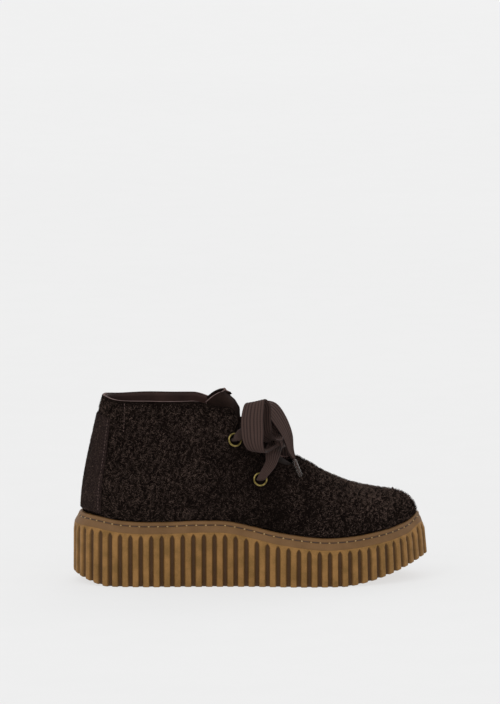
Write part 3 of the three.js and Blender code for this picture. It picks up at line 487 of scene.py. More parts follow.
def make(
    name: str,
    bm: Shape,
    slot: str,
    *materials: bpy.types.Material,
    replaces: Sequence[str] = (),
    smooth: bool = True,
) -> Piece:
    """Finished piece from a mesh.

    Args:
        name: the piece's name.
        bm: its mesh, freed here.
        slot: the record's material slot; not used.
        materials: its materials, in the order of its faces' indices.
        replaces: CAD nodes that it stands for.
        smooth: shade its faces smoothly.

    Returns:
        The piece, riding on the shoe's one body.
    """
    mesh = bpy.data.meshes.new(name)
    for face in bm.faces:
        face.smooth = smooth
    bm.to_mesh(mesh)
    bm.free()
    return adopt(name, mesh, slot, *materials, replaces=replaces)


def adopt(
    name: str,
    mesh: bpy.types.Mesh,
    slot: str,
    *materials: bpy.types.Material,
    replaces: Sequence[str] = (),
) -> Piece:
    """Piece from a ready mesh. Args and return as in `make`."""
    piece = link(name, mesh)
    for material in materials:
        mesh.materials.append(material)
    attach(piece, "root")
    for node in replaces:
        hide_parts(node)
    LOG.info("%s: %d faces", name, len(mesh.polygons))
    return piece


def thicken(piece: Piece, thickness: float, rim: int = 0, inwards: bool = True) -> None:
    """Gives a sheet its thickness, mm, on its inner side, and its rim a material."""
    wall = piece.modifiers.new("wall", "SOLIDIFY")
    wall.thickness = thickness / 1000
    wall.offset = -1 if inwards else 1
    wall.material_offset_rim = rim


def copies(name: str, shape: Shape, frames: Array) -> bpy.types.Mesh:
    """One small shape repeated.

    Args:
        name: the mesh's name.
        shape: the shape, freed here.
        frames: its places, as 4 by 4 matrices in the frame.

    Returns:
        The joined mesh.
    """
    shape.verts.index_update()
    local = np.array([(*v.co, 1.0) for v in shape.verts])
    faces = [[v.index for v in f.verts] for f in shape.faces]
    shape.free()
    return repeated(name, np.einsum("nij,vj->nvi", frames, local)[..., :3], faces)


def repeated(name: str, points: Array, faces: list[list[int]]) -> bpy.types.Mesh:
    """Mesh of many shapes with the same faces.

    Args:
        name: the mesh's name.
        points: each shape's points, in the frame.
        faces: the faces of one shape.

    Returns:
        The joined mesh.
    """
    count, each = points.shape[:2]
    sizes = np.array([len(f) for f in faces])
    corners = np.concatenate(faces)[None] + np.arange(count)[:, None] * each
    mesh = bpy.data.meshes.new(name)
    mesh.vertices.add(count * each)
    mesh.vertices.foreach_set("co", points.astype(np.float32).ravel())
    mesh.loops.add(corners.size)
    mesh.loops.foreach_set("vertex_index", corners.astype(np.int32).ravel())
    mesh.polygons.add(count * len(faces))
    totals = np.tile(sizes, count)
    starts = np.concatenate([[0], np.cumsum(totals)[:-1]])
    mesh.polygons.foreach_set("loop_start", starts.astype(np.int32))
    mesh.polygons.foreach_set("use_smooth", np.ones(len(totals), dtype=bool))
    mesh.update(calc_edges=True)
    mesh.validate()
    return mesh


def frames_from(middle: Array, x: Array, y: Array, scale: float = 1.0) -> Array:
    """Matrices of right-handed frames at mm points.

    Args:
        middle: their origins, mm.
        x: directions of their x axes.
        y: directions near their y axes.
        scale: size of a local unit, in metres.

    Returns:
        4 by 4 matrices.
    """
    x = unit(x)
    z = unit(np.cross(x, y))
    made = np.zeros((len(middle), 4, 4))
    made[:, :3, 0], made[:, :3, 1], made[:, :3, 2] = x * scale, np.cross(z, x) * scale, z * scale
    made[:, :3, 3] = to_frame(middle)
    made[:, 3, 3] = 1
    return made


def linear(colour: str) -> tuple[float, float, float, float]:
    """Linear colour from an sRGB hex value such as "#8a6b45"."""
    parts = [int(colour[i : i + 2], 16) / 255 for i in (1, 3, 5)]
    red, green, blue = (c / 12.92 if c <= 0.04045 else ((c + 0.055) / 1.055) ** 2.4 for c in parts)
    return red, green, blue, 1.0


def add(
    tree: Tree,
    kind: str,
    inputs: dict[str | int, Any] | None = None,
    stops: Sequence[tuple[float, str]] = (),
    **settings: Any,
) -> Node:
    """Adds a node.

    Args:
        tree: the node tree.
        kind: its type's name after "ShaderNode".
        inputs: a value, or another node's output, for each of its sockets.
        stops: places and hex colours of a colour ramp.
        settings: its properties.

    Returns:
        The node.
    """
    node = tree.nodes.new("ShaderNode" + kind)
    for key, value in settings.items():
        setattr(node, key, value)
    for key, value in (inputs or {}).items():
        if isinstance(value, Socket):
            tree.links.new(value, node.inputs[key])
        else:
            node.inputs[key].default_value = value
    if stops:
        ramp = node.color_ramp
        while len(ramp.elements) < len(stops):
            ramp.elements.new(0.5)
        for element, (place, colour) in zip(ramp.elements, stops):
            element.position, element.color = place, linear(colour)
    return node


@dataclass(frozen=True)
class Finish:
    """A surface whose colour and relief come from two noises of real sizes."""

    name: str
    dark: str
    light: str
    patch: float  # mm, size of its colour patches
    grain: float  # mm, size of its grain
    relief: float  # mm, height of its grain
    roughness: float
    fine: float = 0.4  # share of the grain in the colour
    sheen: float = 0.0
    metallic: float = 0.0
    specular: float = 0.5
    coat: float = 0.0

    def material(self) -> bpy.types.Material:
        """The finish as a material, made once."""
        made = bpy.data.materials.get(self.name)
        if made:
            return made
        made = bpy.data.materials.new(self.name)
        made.use_nodes = True
        made.node_tree.nodes.clear()
        self.dress(made.node_tree)
        return made

    def dress(self, tree: Tree) -> None:
        """Adds the finish's nodes."""
        patches, grain = self.noise(tree, self.patch, 3.0), self.noise(tree, self.grain, 2.0)
        shade = add(tree, "Mix", {0: self.fine, 2: patches, 3: grain})
        self.paint(tree, shade.outputs[0], grain, (0.36, self.dark), (0.64, self.light))

    @staticmethod
    def noise(tree: Tree, size: float, detail: float) -> Socket:
        """Adds a noise with patches of a size in mm. Returns its output."""
        place = add(tree, "TexCoord").outputs["Object"]
        values = {"Vector": place, "Scale": 1000 / size, "Detail": detail}
        return add(tree, "TexNoise", values).outputs["Fac"]

    def paint(self, tree: Tree, shade: Socket, height: Socket, *stops: tuple[float, str]) -> None:
        """Adds the colours, the relief and the surface.

        Args:
            tree: the node tree.
            shade: output that picks the colour.
            height: output that gives the relief.
            stops: places and hex colours, dark to light.
        """
        colour = add(tree, "ValToRGB", {"Fac": shade}, stops=stops)
        values = {"Height": height, "Distance": self.relief / 1000, "Strength": 1.0}
        bump = add(tree, "Bump", values)
        self.surface(tree, colour.outputs["Color"], bump.outputs["Normal"])

    def surface(self, tree: Tree, colour: Socket, normal: Socket) -> Node:
        """Adds the shader and the output.

        Args:
            tree: the node tree.
            colour: output that gives the colour.
            normal: output that gives the relief.

        Returns:
            The shader.
        """
        values = {
            "Base Color": colour,
            "Normal": normal,
            "Roughness": self.roughness,
            "Metallic": self.metallic,
            "Specular IOR Level": self.specular,
            "Sheen Weight": self.sheen,
            "Sheen Roughness": 0.4,
            "Coat Weight": self.coat,
        }
        shader = add(tree, "BsdfPrincipled", values)
        add(tree, "OutputMaterial", {"Surface": shader.outputs[0]})
        return shader


@dataclass(frozen=True)
class GlowFinish(Finish):
    """Lit studio floor: its own glow softens the shadows on it."""

    glow: float = 0.665

    def surface(self, tree: Tree, colour: Socket, normal: Socket) -> Node:
        """Adds the shader with its glow. Args and return as in `Finish.surface`."""
        shader = super().surface(tree, colour, normal)
        shader.inputs["Emission Color"].default_value = (1, 1, 1, 1)
        shader.inputs["Emission Strength"].default_value = self.glow
        return shader


@dataclass(frozen=True)
class GrooveFinish(Finish):
    """Moulded rubber with painted shade, redder and darker, down in its grooves, read from the
    mesh's own attribute.
    """

    # Colour of the painted shade down in the grooves.
    groove_shade: str = "#452d17"

    def surface(self, tree: Tree, colour: Socket, normal: Socket) -> Node:
        """Adds the shader over the painted shade in the grooves. Args and return as in
        `Finish.surface`.
        """
        depth = add(tree, "Attribute", attribute_name="groove")
        values = {0: depth.outputs["Fac"], 6: colour, 7: linear(self.groove_shade)}
        tone = add(tree, "Mix", values, data_type="RGBA")
        return super().surface(tree, tone.outputs[2], normal)


@dataclass(frozen=True)
class FibreFinish(Finish):
    """Nap fibres: each has its own shade, which also carries painted light and shade, and whole
    tufts are darker or lighter.
    """

    tip: str = "#66554d"

    def dress(self, tree: Tree) -> None:
        """Adds the finish's nodes."""
        tufts = self.noise(tree, self.patch, 2.0)
        each = add(tree, "Attribute", attribute_name="shade").outputs["Fac"]
        shade = add(tree, "Mix", {0: self.fine, 2: tufts, 3: each}).outputs[0]
        stops = ((0.22, self.dark), (0.6, self.light), (0.86, self.tip))
        colour = add(tree, "ValToRGB", {"Fac": shade}, stops=stops)
        flat = add(tree, "NewGeometry").outputs["Normal"]
        self.surface(tree, colour.outputs["Color"], flat)


@dataclass(frozen=True)
class WovenFinish(Finish):
    """Flat tubular weave, read along the lace's own UV map in mm."""

    pick: float = 1.1  # mm between picks; real ones are 0.5 mm, drawn coarser to show
    ribs: int = 14  # lengthwise ribs on both faces together

    def dress(self, tree: Tree) -> None:
        """Adds the finish's nodes. The UV map runs 0 to 1 round the lace, and in mm along it."""

        def work(operation: str, *values: Any) -> Socket:
            """Adds a maths node. Returns its output."""
            return add(tree, "Math", dict(enumerate(values)), operation=operation).outputs[0]

        along = add(tree, "UVMap", uv_map="UVMap").outputs["UV"]
        parts = add(tree, "SeparateXYZ", {0: along}).outputs
        flat = work("COSINE", work("MULTIPLY", parts["X"], 2 * math.pi))
        swing = math.pi * self.ribs / 4
        high = work("ABSOLUTE", work("SINE", work("ADD", work("MULTIPLY", flat, swing), swing)))
        picks = work("MULTIPLY", parts["Y"], 2 * math.pi / self.pick)
        weft = work("SINE", work("ADD", picks, high))
        thread = work("MULTIPLY_ADD", weft, 0.16, 0.5)
        fuzz = self.noise(tree, self.grain, 3.0)
        woven = add(tree, "Mix", {0: 0.35, 2: high, 3: thread}).outputs[0]
        shade = add(tree, "Mix", {0: self.fine, 2: woven, 3: fuzz}).outputs[0]
        self.paint(tree, shade, shade, (0.25, self.dark), (0.72, self.light))


@dataclass(frozen=True)
class FilmFinish(Finish):
    """Clear heat-shrunk film with a painted reflection: whiter and less clear towards its two edges
    as seen from the camera, as the mesh's attribute says.
    """

    def surface(self, tree: Tree, colour: Socket, normal: Socket) -> Node:
        """Adds the shader, mostly clear. Args and return as in `Finish.surface`."""
        shader = super().surface(tree, colour, normal)
        # Painted reflection: less clear towards the film's edges as seen from the camera.
        painted_edge_reflection = add(tree, "Attribute", attribute_name="painted_edge_reflection")
        cover = add(tree, "Mix", {0: painted_edge_reflection.outputs["Fac"], 2: 0.05, 3: 0.65})
        tree.links.new(cover.outputs[0], shader.inputs["Alpha"])
        return shader


# Crepe-look gum rubber, compression moulded: warm tan, dull, faintly mottled, with painted shade
# down in its grooves.
GUM_RUBBER = GrooveFinish(
    "gum_rubber_moulded", "#745425", "#926a38", 9, 0.9, 0.05, 0.66, fine=0.3, specular=0.3
)
# The same rubber as a smooth extruded welt: a little cooler and cleaner.
WELT_RUBBER = Finish(
    "gum_rubber_welt", "#654726", "#745431", 14, 0.7, 0.03, 0.6, fine=0.25, specular=0.3
)
# Long-nap split suede, dark brown: what shows between the fibres.
SUEDE = Finish("long_nap_suede", "#0d0908", "#1a1411", 7, 0.8, 0.4, 0.95, fine=0.5, specular=0.0)
# The nap itself: matt, dark brown, the odd fibre much lighter.
NAP = FibreFinish(
    "suede_nap_fibres", "#0d0a08", "#1e1613", 16, 1.3, 0, 0.8, fine=0.72, specular=0.03
)
# Sheared suede of the back strip: redder and smoother than the rest.
STRIP_SUEDE = Finish(
    "sheared_suede", "#1e1614", "#312624", 5, 0.5, 0.2, 0.9, fine=0.55, specular=0.05
)
# Cut edge of the hide: paler and pinker than its faces.
CUT_EDGE = Finish("cut_suede_edge", "#46332f", "#6b5550", 3, 0.6, 0.15, 0.9, specular=0.2)
# Drum-dyed lining leather, reddish brown and smooth.
LINING = Finish("lining_leather", "#2a1a17", "#3c2823", 16, 0.6, 0.04, 0.7, fine=0.25, specular=0.2)
# Tongue leather, plated smooth: dark with a dull gloss.
TONGUE_LEATHER = Finish(
    "smooth_dark_leather", "#1b1310", "#281d19", 12, 0.7, 0.06, 0.7, fine=0.3, specular=0.02
)
# Footbed leather over foam.
SOCK = Finish("footbed_leather", "#43302a", "#574035", 12, 0.7, 0.05, 0.6, fine=0.3)
# Brass with an antique plate: brown in the low places, rubbed on the high ones.
BRASS = Finish(
    "plated_brass", "#5a4d26", "#b9a566", 2.2, 0.6, 0.02, 0.32, fine=0.4, metallic=1.0
)
# Flat cotton lace, tubular weave with lengthwise ribs.
LACE = WovenFinish(
    "cotton_lace", "#231815", "#45342f", 1, 0.6, 0.25, 0.85, fine=0.3, sheen=0.03, specular=0.2
)
# Clear shrunk film round the lace's end.
FILM = FilmFinish("shrunk_film", "#a09892", "#c2bcb6", 3, 1, 0.02, 0.25, coat=0.3)
# Waxed polyester sewing thread.
THREAD = Finish("waxed_thread", "#33231a", "#4b3526", 3, 0.4, 0.05, 0.6)
# Where the thread's end sinks and the rubber rises round it.
THREAD_END = Finish("stitch_end", "#a88a5c", "#c2a578", 3, 0.5, 0.03, 0.55)
# Cotton seam thread on the quarters, a little pinker than the hide.
SEAM_THREAD = Finish("seam_thread", "#4c3a36", "#6b5550", 3, 0.4, 0.05, 0.8)
# Painted studio floor.
FLOOR = GlowFinish("studio_floor", "#717171", "#747474", 900, 40, 0.0, 0.8, specular=0.0)


# Rows of the wall: height (1 at the heads' foot, 2 at the band), inset, groove width and depth.
WALL_ROWS = np.array([
    (0.035, 11, 1, 0), (0, 9, 1, 0), (0, 4.6, 1, 0), (0, 0.7, 1, 1), (0.012, 0.25, 1, 1),
    (0.03, 0, 1, 1), (0.35, 0, 1, 1), (0.7, 0, 1, 1), (1, 0, 1, 1), (1.12, 0.05, 1, 1),
    (1.3, 0.1, 0.98, 1), (1.44, 0, 0.88, 1), (1.56, 0, 0.7, 1), (1.66, 0, 0.5, 1),
    (1.75, 0, 0.28, 0.9), (1.81, 0, 0.08, 0.3), (1.9, 0, 0.08, 0), (2, 0.1, 0.08, 0),
    (2, 3, 0.08, 0), (2, 11, 0.08, 0),
])
# Columns of one rib and groove: place in half groove widths, sunk share, share of the painted
# groove shade.
# The first is the rib's middle, whose place comes from the pitch.
GROOVE = np.array([
    (0, 0, 0), (-1.35, 0, 0), (-1.08, 0.1, 0.15), (-0.8, 0.82, 0.75), (-0.4, 1, 0.9),
    (0.4, 1, 0.9), (0.8, 0.82, 0.75), (1.08, 0.1, 0.15), (1.35, 0, 0),
])


@dataclass
class PlatformSole:
    """Ribbed wall, smooth stitched welt, tread and filler of the platform sole."""

    band: float = 8.6
    lip: float = 3.2
    rib_head: float = 6.0
    pitch: float = 8.2
    groove_width: float = 3.7
    groove_depth: float = 3.2
    stitch_pitch: float = 7.4
    stitch_length: float = 5.6
    thread: float = 0.5
    bar_pitch: float = 9.0
    steps: int = 1200  # of each half of the rim's measured way round
    rim: tuple[Array, Array] = field(init=False)

    def __post_init__(self) -> None:
        """Measures the way round the sole's rim."""
        fine = np.linspace(0, 1, self.steps + 1)
        at = np.concatenate([fine, fine[::-1]])
        point, _ = outline(np.repeat([-1.0, 1.0], self.steps + 1), at, 0)
        self.rim = (distances(point), at)

    @property
    def girth(self) -> float:
        """Way once round the rim, mm."""
        return self.rim[0][-1]

    @property
    def ribs(self) -> int:
        """Number of ribs."""
        return round(self.girth / self.pitch)

    def station(self, run: Array) -> tuple[Array, Array]:
        """Side and station at a distance round the rim from the heel, over the lateral side."""
        runs, at = self.rim
        run = np.mod(run, self.girth)
        return np.where(run <= runs[self.steps], -1.0, 1.0), np.interp(run, runs, at)

    def foot(self, x: Array) -> Array:
        """Height where the smooth band starts."""
        return top_height(x) - self.band

    def wall(self, u: Array, v: Array) -> Array:
        """Point of the ribbed wall; v runs from its inner foot, out, up and in again."""
        rib, part = np.divmod(np.rint(u * self.ribs * len(GROOVE)).astype(int), len(GROOVE))
        across, sunk, _ = GROOVE[part].T
        height, inset, width, depth = WALL_ROWS[np.rint(v * (len(WALL_ROWS) - 1)).astype(int)].T
        half = self.groove_width / 2 * width
        shift = np.where(part == 0, -self.girth / self.ribs / 2, across * half)
        side, at = self.station((rib + 0.25) * self.girth / self.ribs + shift)
        base, _ = outline(side, at, 0)
        low = bottom_height(base[:, 0])
        head, foot = SIDE.read("head", at), SIDE.read("foot", at)
        inner = outline(side, at, foot)[0][:, 0]
        high = self.foot(inner)
        z = np.where(height <= 1, low + (high - self.rib_head - low) * height, 0)
        z = np.where(height > 1, high - self.rib_head * (2 - height), z)
        rise = np.clip((z - low) / (high - low), 0, 1)
        rib_in = np.where(height <= 1, head * height, head + (foot - head) * (height - 1))
        groove_in = self.groove_depth + (foot + 0.9 - self.groove_depth) * rise
        extra = np.maximum(0, groove_in - rib_in) * sunk * depth
        point, _ = outline(side, at, rib_in + inset + extra)
        return np.column_stack([point, z])

    def build_wall(self) -> Piece:
        """Ribbed side of the sole, a closed hoop."""
        columns, last = self.ribs * len(GROOVE), len(WALL_ROWS) - 1
        bm = grid(columns, last, self.wall)
        # Painted groove shade at each point: darker the deeper it lies in a groove.
        layer, groove_shade = bm.loops.layers.uv.active, bm.verts.layers.float.new("groove")
        for face in bm.faces:
            for loop in face.loops:
                u, v = loop[layer].uv
                _, _, width, depth = WALL_ROWS[round(v * last)]
                tone = GROOVE[round(u * columns) % len(GROOVE), 2]
                loop.vert[groove_shade] = tone * depth * min(1, width + 0.2)
        close_hoop(bm)
        return make("rib_wall", bm, "gum_rubber", GUM_RUBBER.material(), replaces=["outsole"])

    def plate(self, inset: float, height: Callable[[Array, Array], Array]) -> Shape:
        """Sheet across the sole.

        Args:
            inset: mm from the outline to its edge.
            height: gives its height from x and the share of the way across.

        Returns:
            The sheet's mesh.
        """

        def place(u: Array, v: Array) -> Array:
            """Point of the sheet."""
            flat = across_sole(u, v, np.full_like(u, inset))
            return np.column_stack([flat, height(flat[:, 0], v)])

        return grid(240, 20, place)

    def build_tread(self) -> Piece:
        """Underside with shallow cross bars."""

        def height(x: Array, v: Array) -> Array:
            """Height of the bars, which bend towards the heel in the middle."""
            wave = np.sin(2 * np.pi * (x + 5 * np.cos(2 * np.pi * v)) / self.bar_pitch)
            inside = np.clip(np.minimum(v, 1 - v) / 0.1, 0, 1)
            return bottom_height(x) + 0.7 - 0.65 * inside * np.clip(1.6 * wave, -1, 1)

        bm = self.plate(6.0, height)
        face_out(bm, inside=(140, 8, 40))
        piece = make("tread", bm, "gum_rubber", GUM_RUBBER.material(), replaces=["outsole"])
        thicken(piece, 3.5)
        return piece

    def band_point(self, run: Array, up: Array, sunk: Array) -> Array:
        """Point of the welt: up is 0 at its foot and 1 at its lip, sunk is mm inwards."""
        side, at = self.station(run)
        foot, lip = SIDE.read("foot", at), SIDE.read("lip", at)
        point, _ = outline(side, at, foot + (lip - foot) * up + sunk)
        return np.column_stack([point, self.foot(point[:, 0]) + self.band * up])

    def build_welt(self) -> Piece:
        """Smooth band with a slit for its stitches, a closed hoop."""
        slit = 1 - self.lip / self.band
        rows = np.array([
            (0.0, 9), (0.0, 0.1), (0.01, 0.02), (0.04, 0), (0.3, -0.15), (slit - 0.1, 0),
            (slit - 0.055, 0.12), (slit - 0.03, 0.85), (slit + 0.02, 0.85), (slit + 0.05, 0.1),
            (slit + 0.09, -0.2), (0.8, -0.35), (0.9, -0.3), (0.96, -0.1), (0.99, 0.3), (1.0, 0.9),
            (1.0, 3), (0.98, 9),
        ])

        def place(u: Array, v: Array) -> Array:
            """Point of the band."""
            up, sunk = rows[np.rint(v * (len(rows) - 1)).astype(int)].T
            return self.band_point(u * self.girth, up, sunk)

        bm = grid(420, len(rows) - 1, place)
        close_hoop(bm)
        return make("welt", bm, "welt_rubber", WELT_RUBBER.material(), replaces=["midsole"])

    def build_filler(self) -> Piece:
        """Board that closes the platform under the footbed."""
        bm = self.plate(9.5, lambda x, v: top_height(x) - 0.1)
        face_out(bm, inside=(140, 8, 0))
        rubber = WELT_RUBBER.material()
        piece = make("platform_board", bm, "welt_rubber", rubber, replaces=["midsole"])
        thicken(piece, 3.0)
        return piece

    def build_stitches(self) -> None:
        """Thread in the welt's slit, and the pale ends of each stitch."""
        count = round(self.girth / self.stitch_pitch)
        run = (np.arange(count) + 0.5) * self.girth / count
        slit = np.full(count, 1 - self.lip / self.band)

        def frames(shift: float, sunk: float) -> Array:
            """Frames in the slit, shifted along it and sunk into it by mm."""
            behind, here, ahead = (
                self.band_point(run + shift + d, slit, np.full(count, sunk)) for d in (-1, 0, 1)
            )
            return frames_from(here, ahead - behind, np.tile([0.0, 0.0, 1.0], (count, 1)), MM)

        long = bead(8, 6, (self.stitch_length / 2, self.thread, self.thread))
        ball = bead(8, 6, (0.75, 0.5, 0.55), turn=0.0)
        for name, shape, places, finish in (
            ("welt_stitches", long, frames(0, 0.45), THREAD),
            ("stitch_ends", ball, frames(self.girth / count / 2, 0.2), THREAD_END),
        ):
            adopt(name, copies(name, shape, places), "welt_rubber", finish.material())

    def build(self) -> None:
        """Builds the whole sole."""
        self.build_wall()
        self.build_tread()
        self.build_welt()
        self.build_filler()
        self.build_stitches()


@dataclass
class Footbed:
    """Leather-topped footbed."""

    thickness: float = 3.0
    crown: float = 0.8

    def build(self) -> Piece:
        """Dished board, closed all round."""

        def place(u: Array, v: Array) -> Array:
            """Point of the footbed's top."""
            flat = across_sole(u, v, SIDE.read("upper", u) + WALL + 3 * GAP)
            rise = 2 * GAP + self.thickness - self.crown * np.sin(np.pi * v) * np.sin(np.pi * u)
            return np.column_stack([flat, top_height(flat[:, 0]) + rise])

        bm = grid(90, 16, place)
        face_out(bm, inside=(140, 8, 0))
        piece = make("footbed", bm, "sock_leather", SOCK.material(), replaces=["insole"])
        thicken(piece, self.thickness - 0.1)
        return piece


@dataclass
class Nap:
    """Long nap on a suede piece: thousands of bent, tapered fibres."""

    density: float = 5.0  # fibres to a square millimetre
    length: tuple[float, float] = (1.5, 3.8)
    width: float = 0.17  # real fibres are 0.03 mm, drawn coarser to show
    stand: float = 0.5  # how far the fibres stand up from the surface
    stray: float = 0.55  # spread of the way the fibres lie, radians
    bend: float = 0.42  # spread of their curl
    waver: float = 0.28  # spread of how far they stand up
    most: int = 60000  # fibres
    seed: int = 7
    trimmed: bool = False  # shorter towards the sheet's top edge

    @staticmethod
    def painted_toe_light_and_eyelet_shade(root: Array, out: Array) -> Array:
        """How much lighter each fibre is painted: painted light on top of the toe, painted shade
        round the eyelets under the bow.
        """
        toe = np.clip((root[:, 0] - 175) / 50, 0, 1) * np.clip(out[:, 2] * 1.4 - 0.35, 0, 1)
        return 0.24 * toe - 0.13 * np.exp(-(((root[:, 0] - 150) / 30) ** 2))

    def whorl(self, points: Array) -> Array:
        """Angle in which the nap lies, turning slowly from place to place."""
        rng = np.random.default_rng(11)
        angle = np.zeros(len(points))
        for size, swing in ((34.0, 1.0), (13.0, 1.2), (6.0, 1.0)):
            for _ in range(3):
                way = unit(rng.normal(size=3)) * 2 * np.pi / size
                angle += swing * np.sin(points @ way + rng.uniform(0, 6.3))
        return angle

    def roots(self, ground: Piece, rng: np.random.Generator) -> tuple[Array, Array, Array]:
        """Scatters the fibres' roots evenly over a sheet.

        Args:
            ground: the sheet.
            rng: source of the random places.

        Returns:
            The roots in mm, the sheet's outward directions there and shares of the way up it.
        """
        mesh = ground.data
        mesh.calc_loop_triangles()
        co = np.array([v.co for v in mesh.vertices]) * 1000 + ORIGIN
        normals = np.array([v.normal for v in mesh.vertices])
        tris = np.array([t.vertices for t in mesh.loop_triangles])
        a, b, c = (co[tris[:, i]] for i in range(3))
        area = np.linalg.norm(np.cross(b - a, c - a), axis=1) / 2
        count = min(self.most, int(area.sum() * self.density))
        pick = rng.choice(len(tris), count, p=area / area.sum())
        w = rng.dirichlet((1, 1, 1), count)
        up = np.zeros(len(co))
        corner = np.zeros(len(mesh.loops), dtype=np.int32)
        mesh.loops.foreach_get("vertex_index", corner)
        uv = np.zeros(len(mesh.loops) * 2, dtype=np.float32)
        mesh.uv_layers.active.data.foreach_get("uv", uv)
        up[corner] = uv[1::2]
        share = np.einsum("nk,nk->n", w, up[tris[pick]])
        root = np.einsum("nk,nkj->nj", w, co[tris[pick]])
        return root, unit(np.einsum("nk,nkj->nj", w, normals[tris[pick]])), share

    @staticmethod
    def blade() -> tuple[list[tuple[float, int]], list[list[int]]]:
        """One fibre's points, as side and row from root to tip, and its faces."""
        shape = bmesh.new()
        bmesh.ops.create_grid(shape, x_segments=1, y_segments=2, size=1)
        top = [v for v in shape.verts if v.co.y > 0.5]
        bmesh.ops.pointmerge(shape, verts=top, merge_co=(0, 1, 0))
        shape.verts.index_update()
        local = [(v.co.x, round(v.co.y) + 1) for v in shape.verts]
        faces = [[v.index for v in f.verts] for f in shape.faces]
        shape.free()
        return local, faces

    def build(
        self,
        name: str,
        ground: Piece,
        bare: Callable[[Array], Array] | None = None,
        slot: str = "suede",
    ) -> Piece:
        """Grows the nap.

        Args:
            name: the piece's name.
            ground: the sheet that it grows on.
            bare: tells which mm points stay without nap.
            slot: the record's material slot; not used.

        Returns:
            The piece of all its fibres.
        """
        rng = np.random.default_rng(self.seed)
        root, out, share = self.roots(ground, rng)
        if bare is not None:
            keep = ~bare(root)
            root, out, share = root[keep], out[keep], share[keep]
        count = len(root)
        level = unit(np.cross(out, [0.31, 0.95, 0.05]))
        other = np.cross(out, level)
        turn = self.whorl(root) + rng.normal(0, self.stray, count)
        lie, curl = (
            level * np.cos(angle)[:, None] + other * np.sin(angle)[:, None]
            for angle in (turn, turn + 1.5)
        )
        curl = curl * rng.normal(0, self.bend, count)[:, None]
        rise = np.clip(rng.normal(self.stand, self.waver, count), 0.08, 1.3)[:, None]
        length = rng.uniform(*self.length, count)[:, None]
        if self.trimmed:
            length = length * np.clip((1 - share) / 0.07, 0.12, 1)[:, None]
        along = unit(lie + out * rise)
        middle = root + along * length * 0.55 + curl * length * 0.15
        tip = root + (along + curl - out * rise * 0.35) * length
        # Each fibre's own random tone, plus the painted light on top of the toe and the painted
        # shade round the eyelets.
        shade = np.clip(rng.uniform(0, 1, count) + self.painted_toe_light_and_eyelet_shade(root, out), 0, 1)
        broad = self.width * (0.6 + 1.1 * shade**3)[:, None]
        across = unit(np.cross(along, out + 0.6 * rng.normal(size=(count, 3)))) * broad / 2
        local, faces = self.blade()
        spine = (root - out * 0.25, middle, tip)
        points = np.stack([spine[row] + across * x * (1, 0.8, 0)[row] for x, row in local], 1)
        grown = repeated(name, to_frame(points), faces)
        tint = grown.attributes.new("shade", "FLOAT", "POINT")
        tint.data.foreach_set("value", np.repeat(shade, len(local)).astype(np.float32))
        return adopt(name, grown, slot, NAP.material())


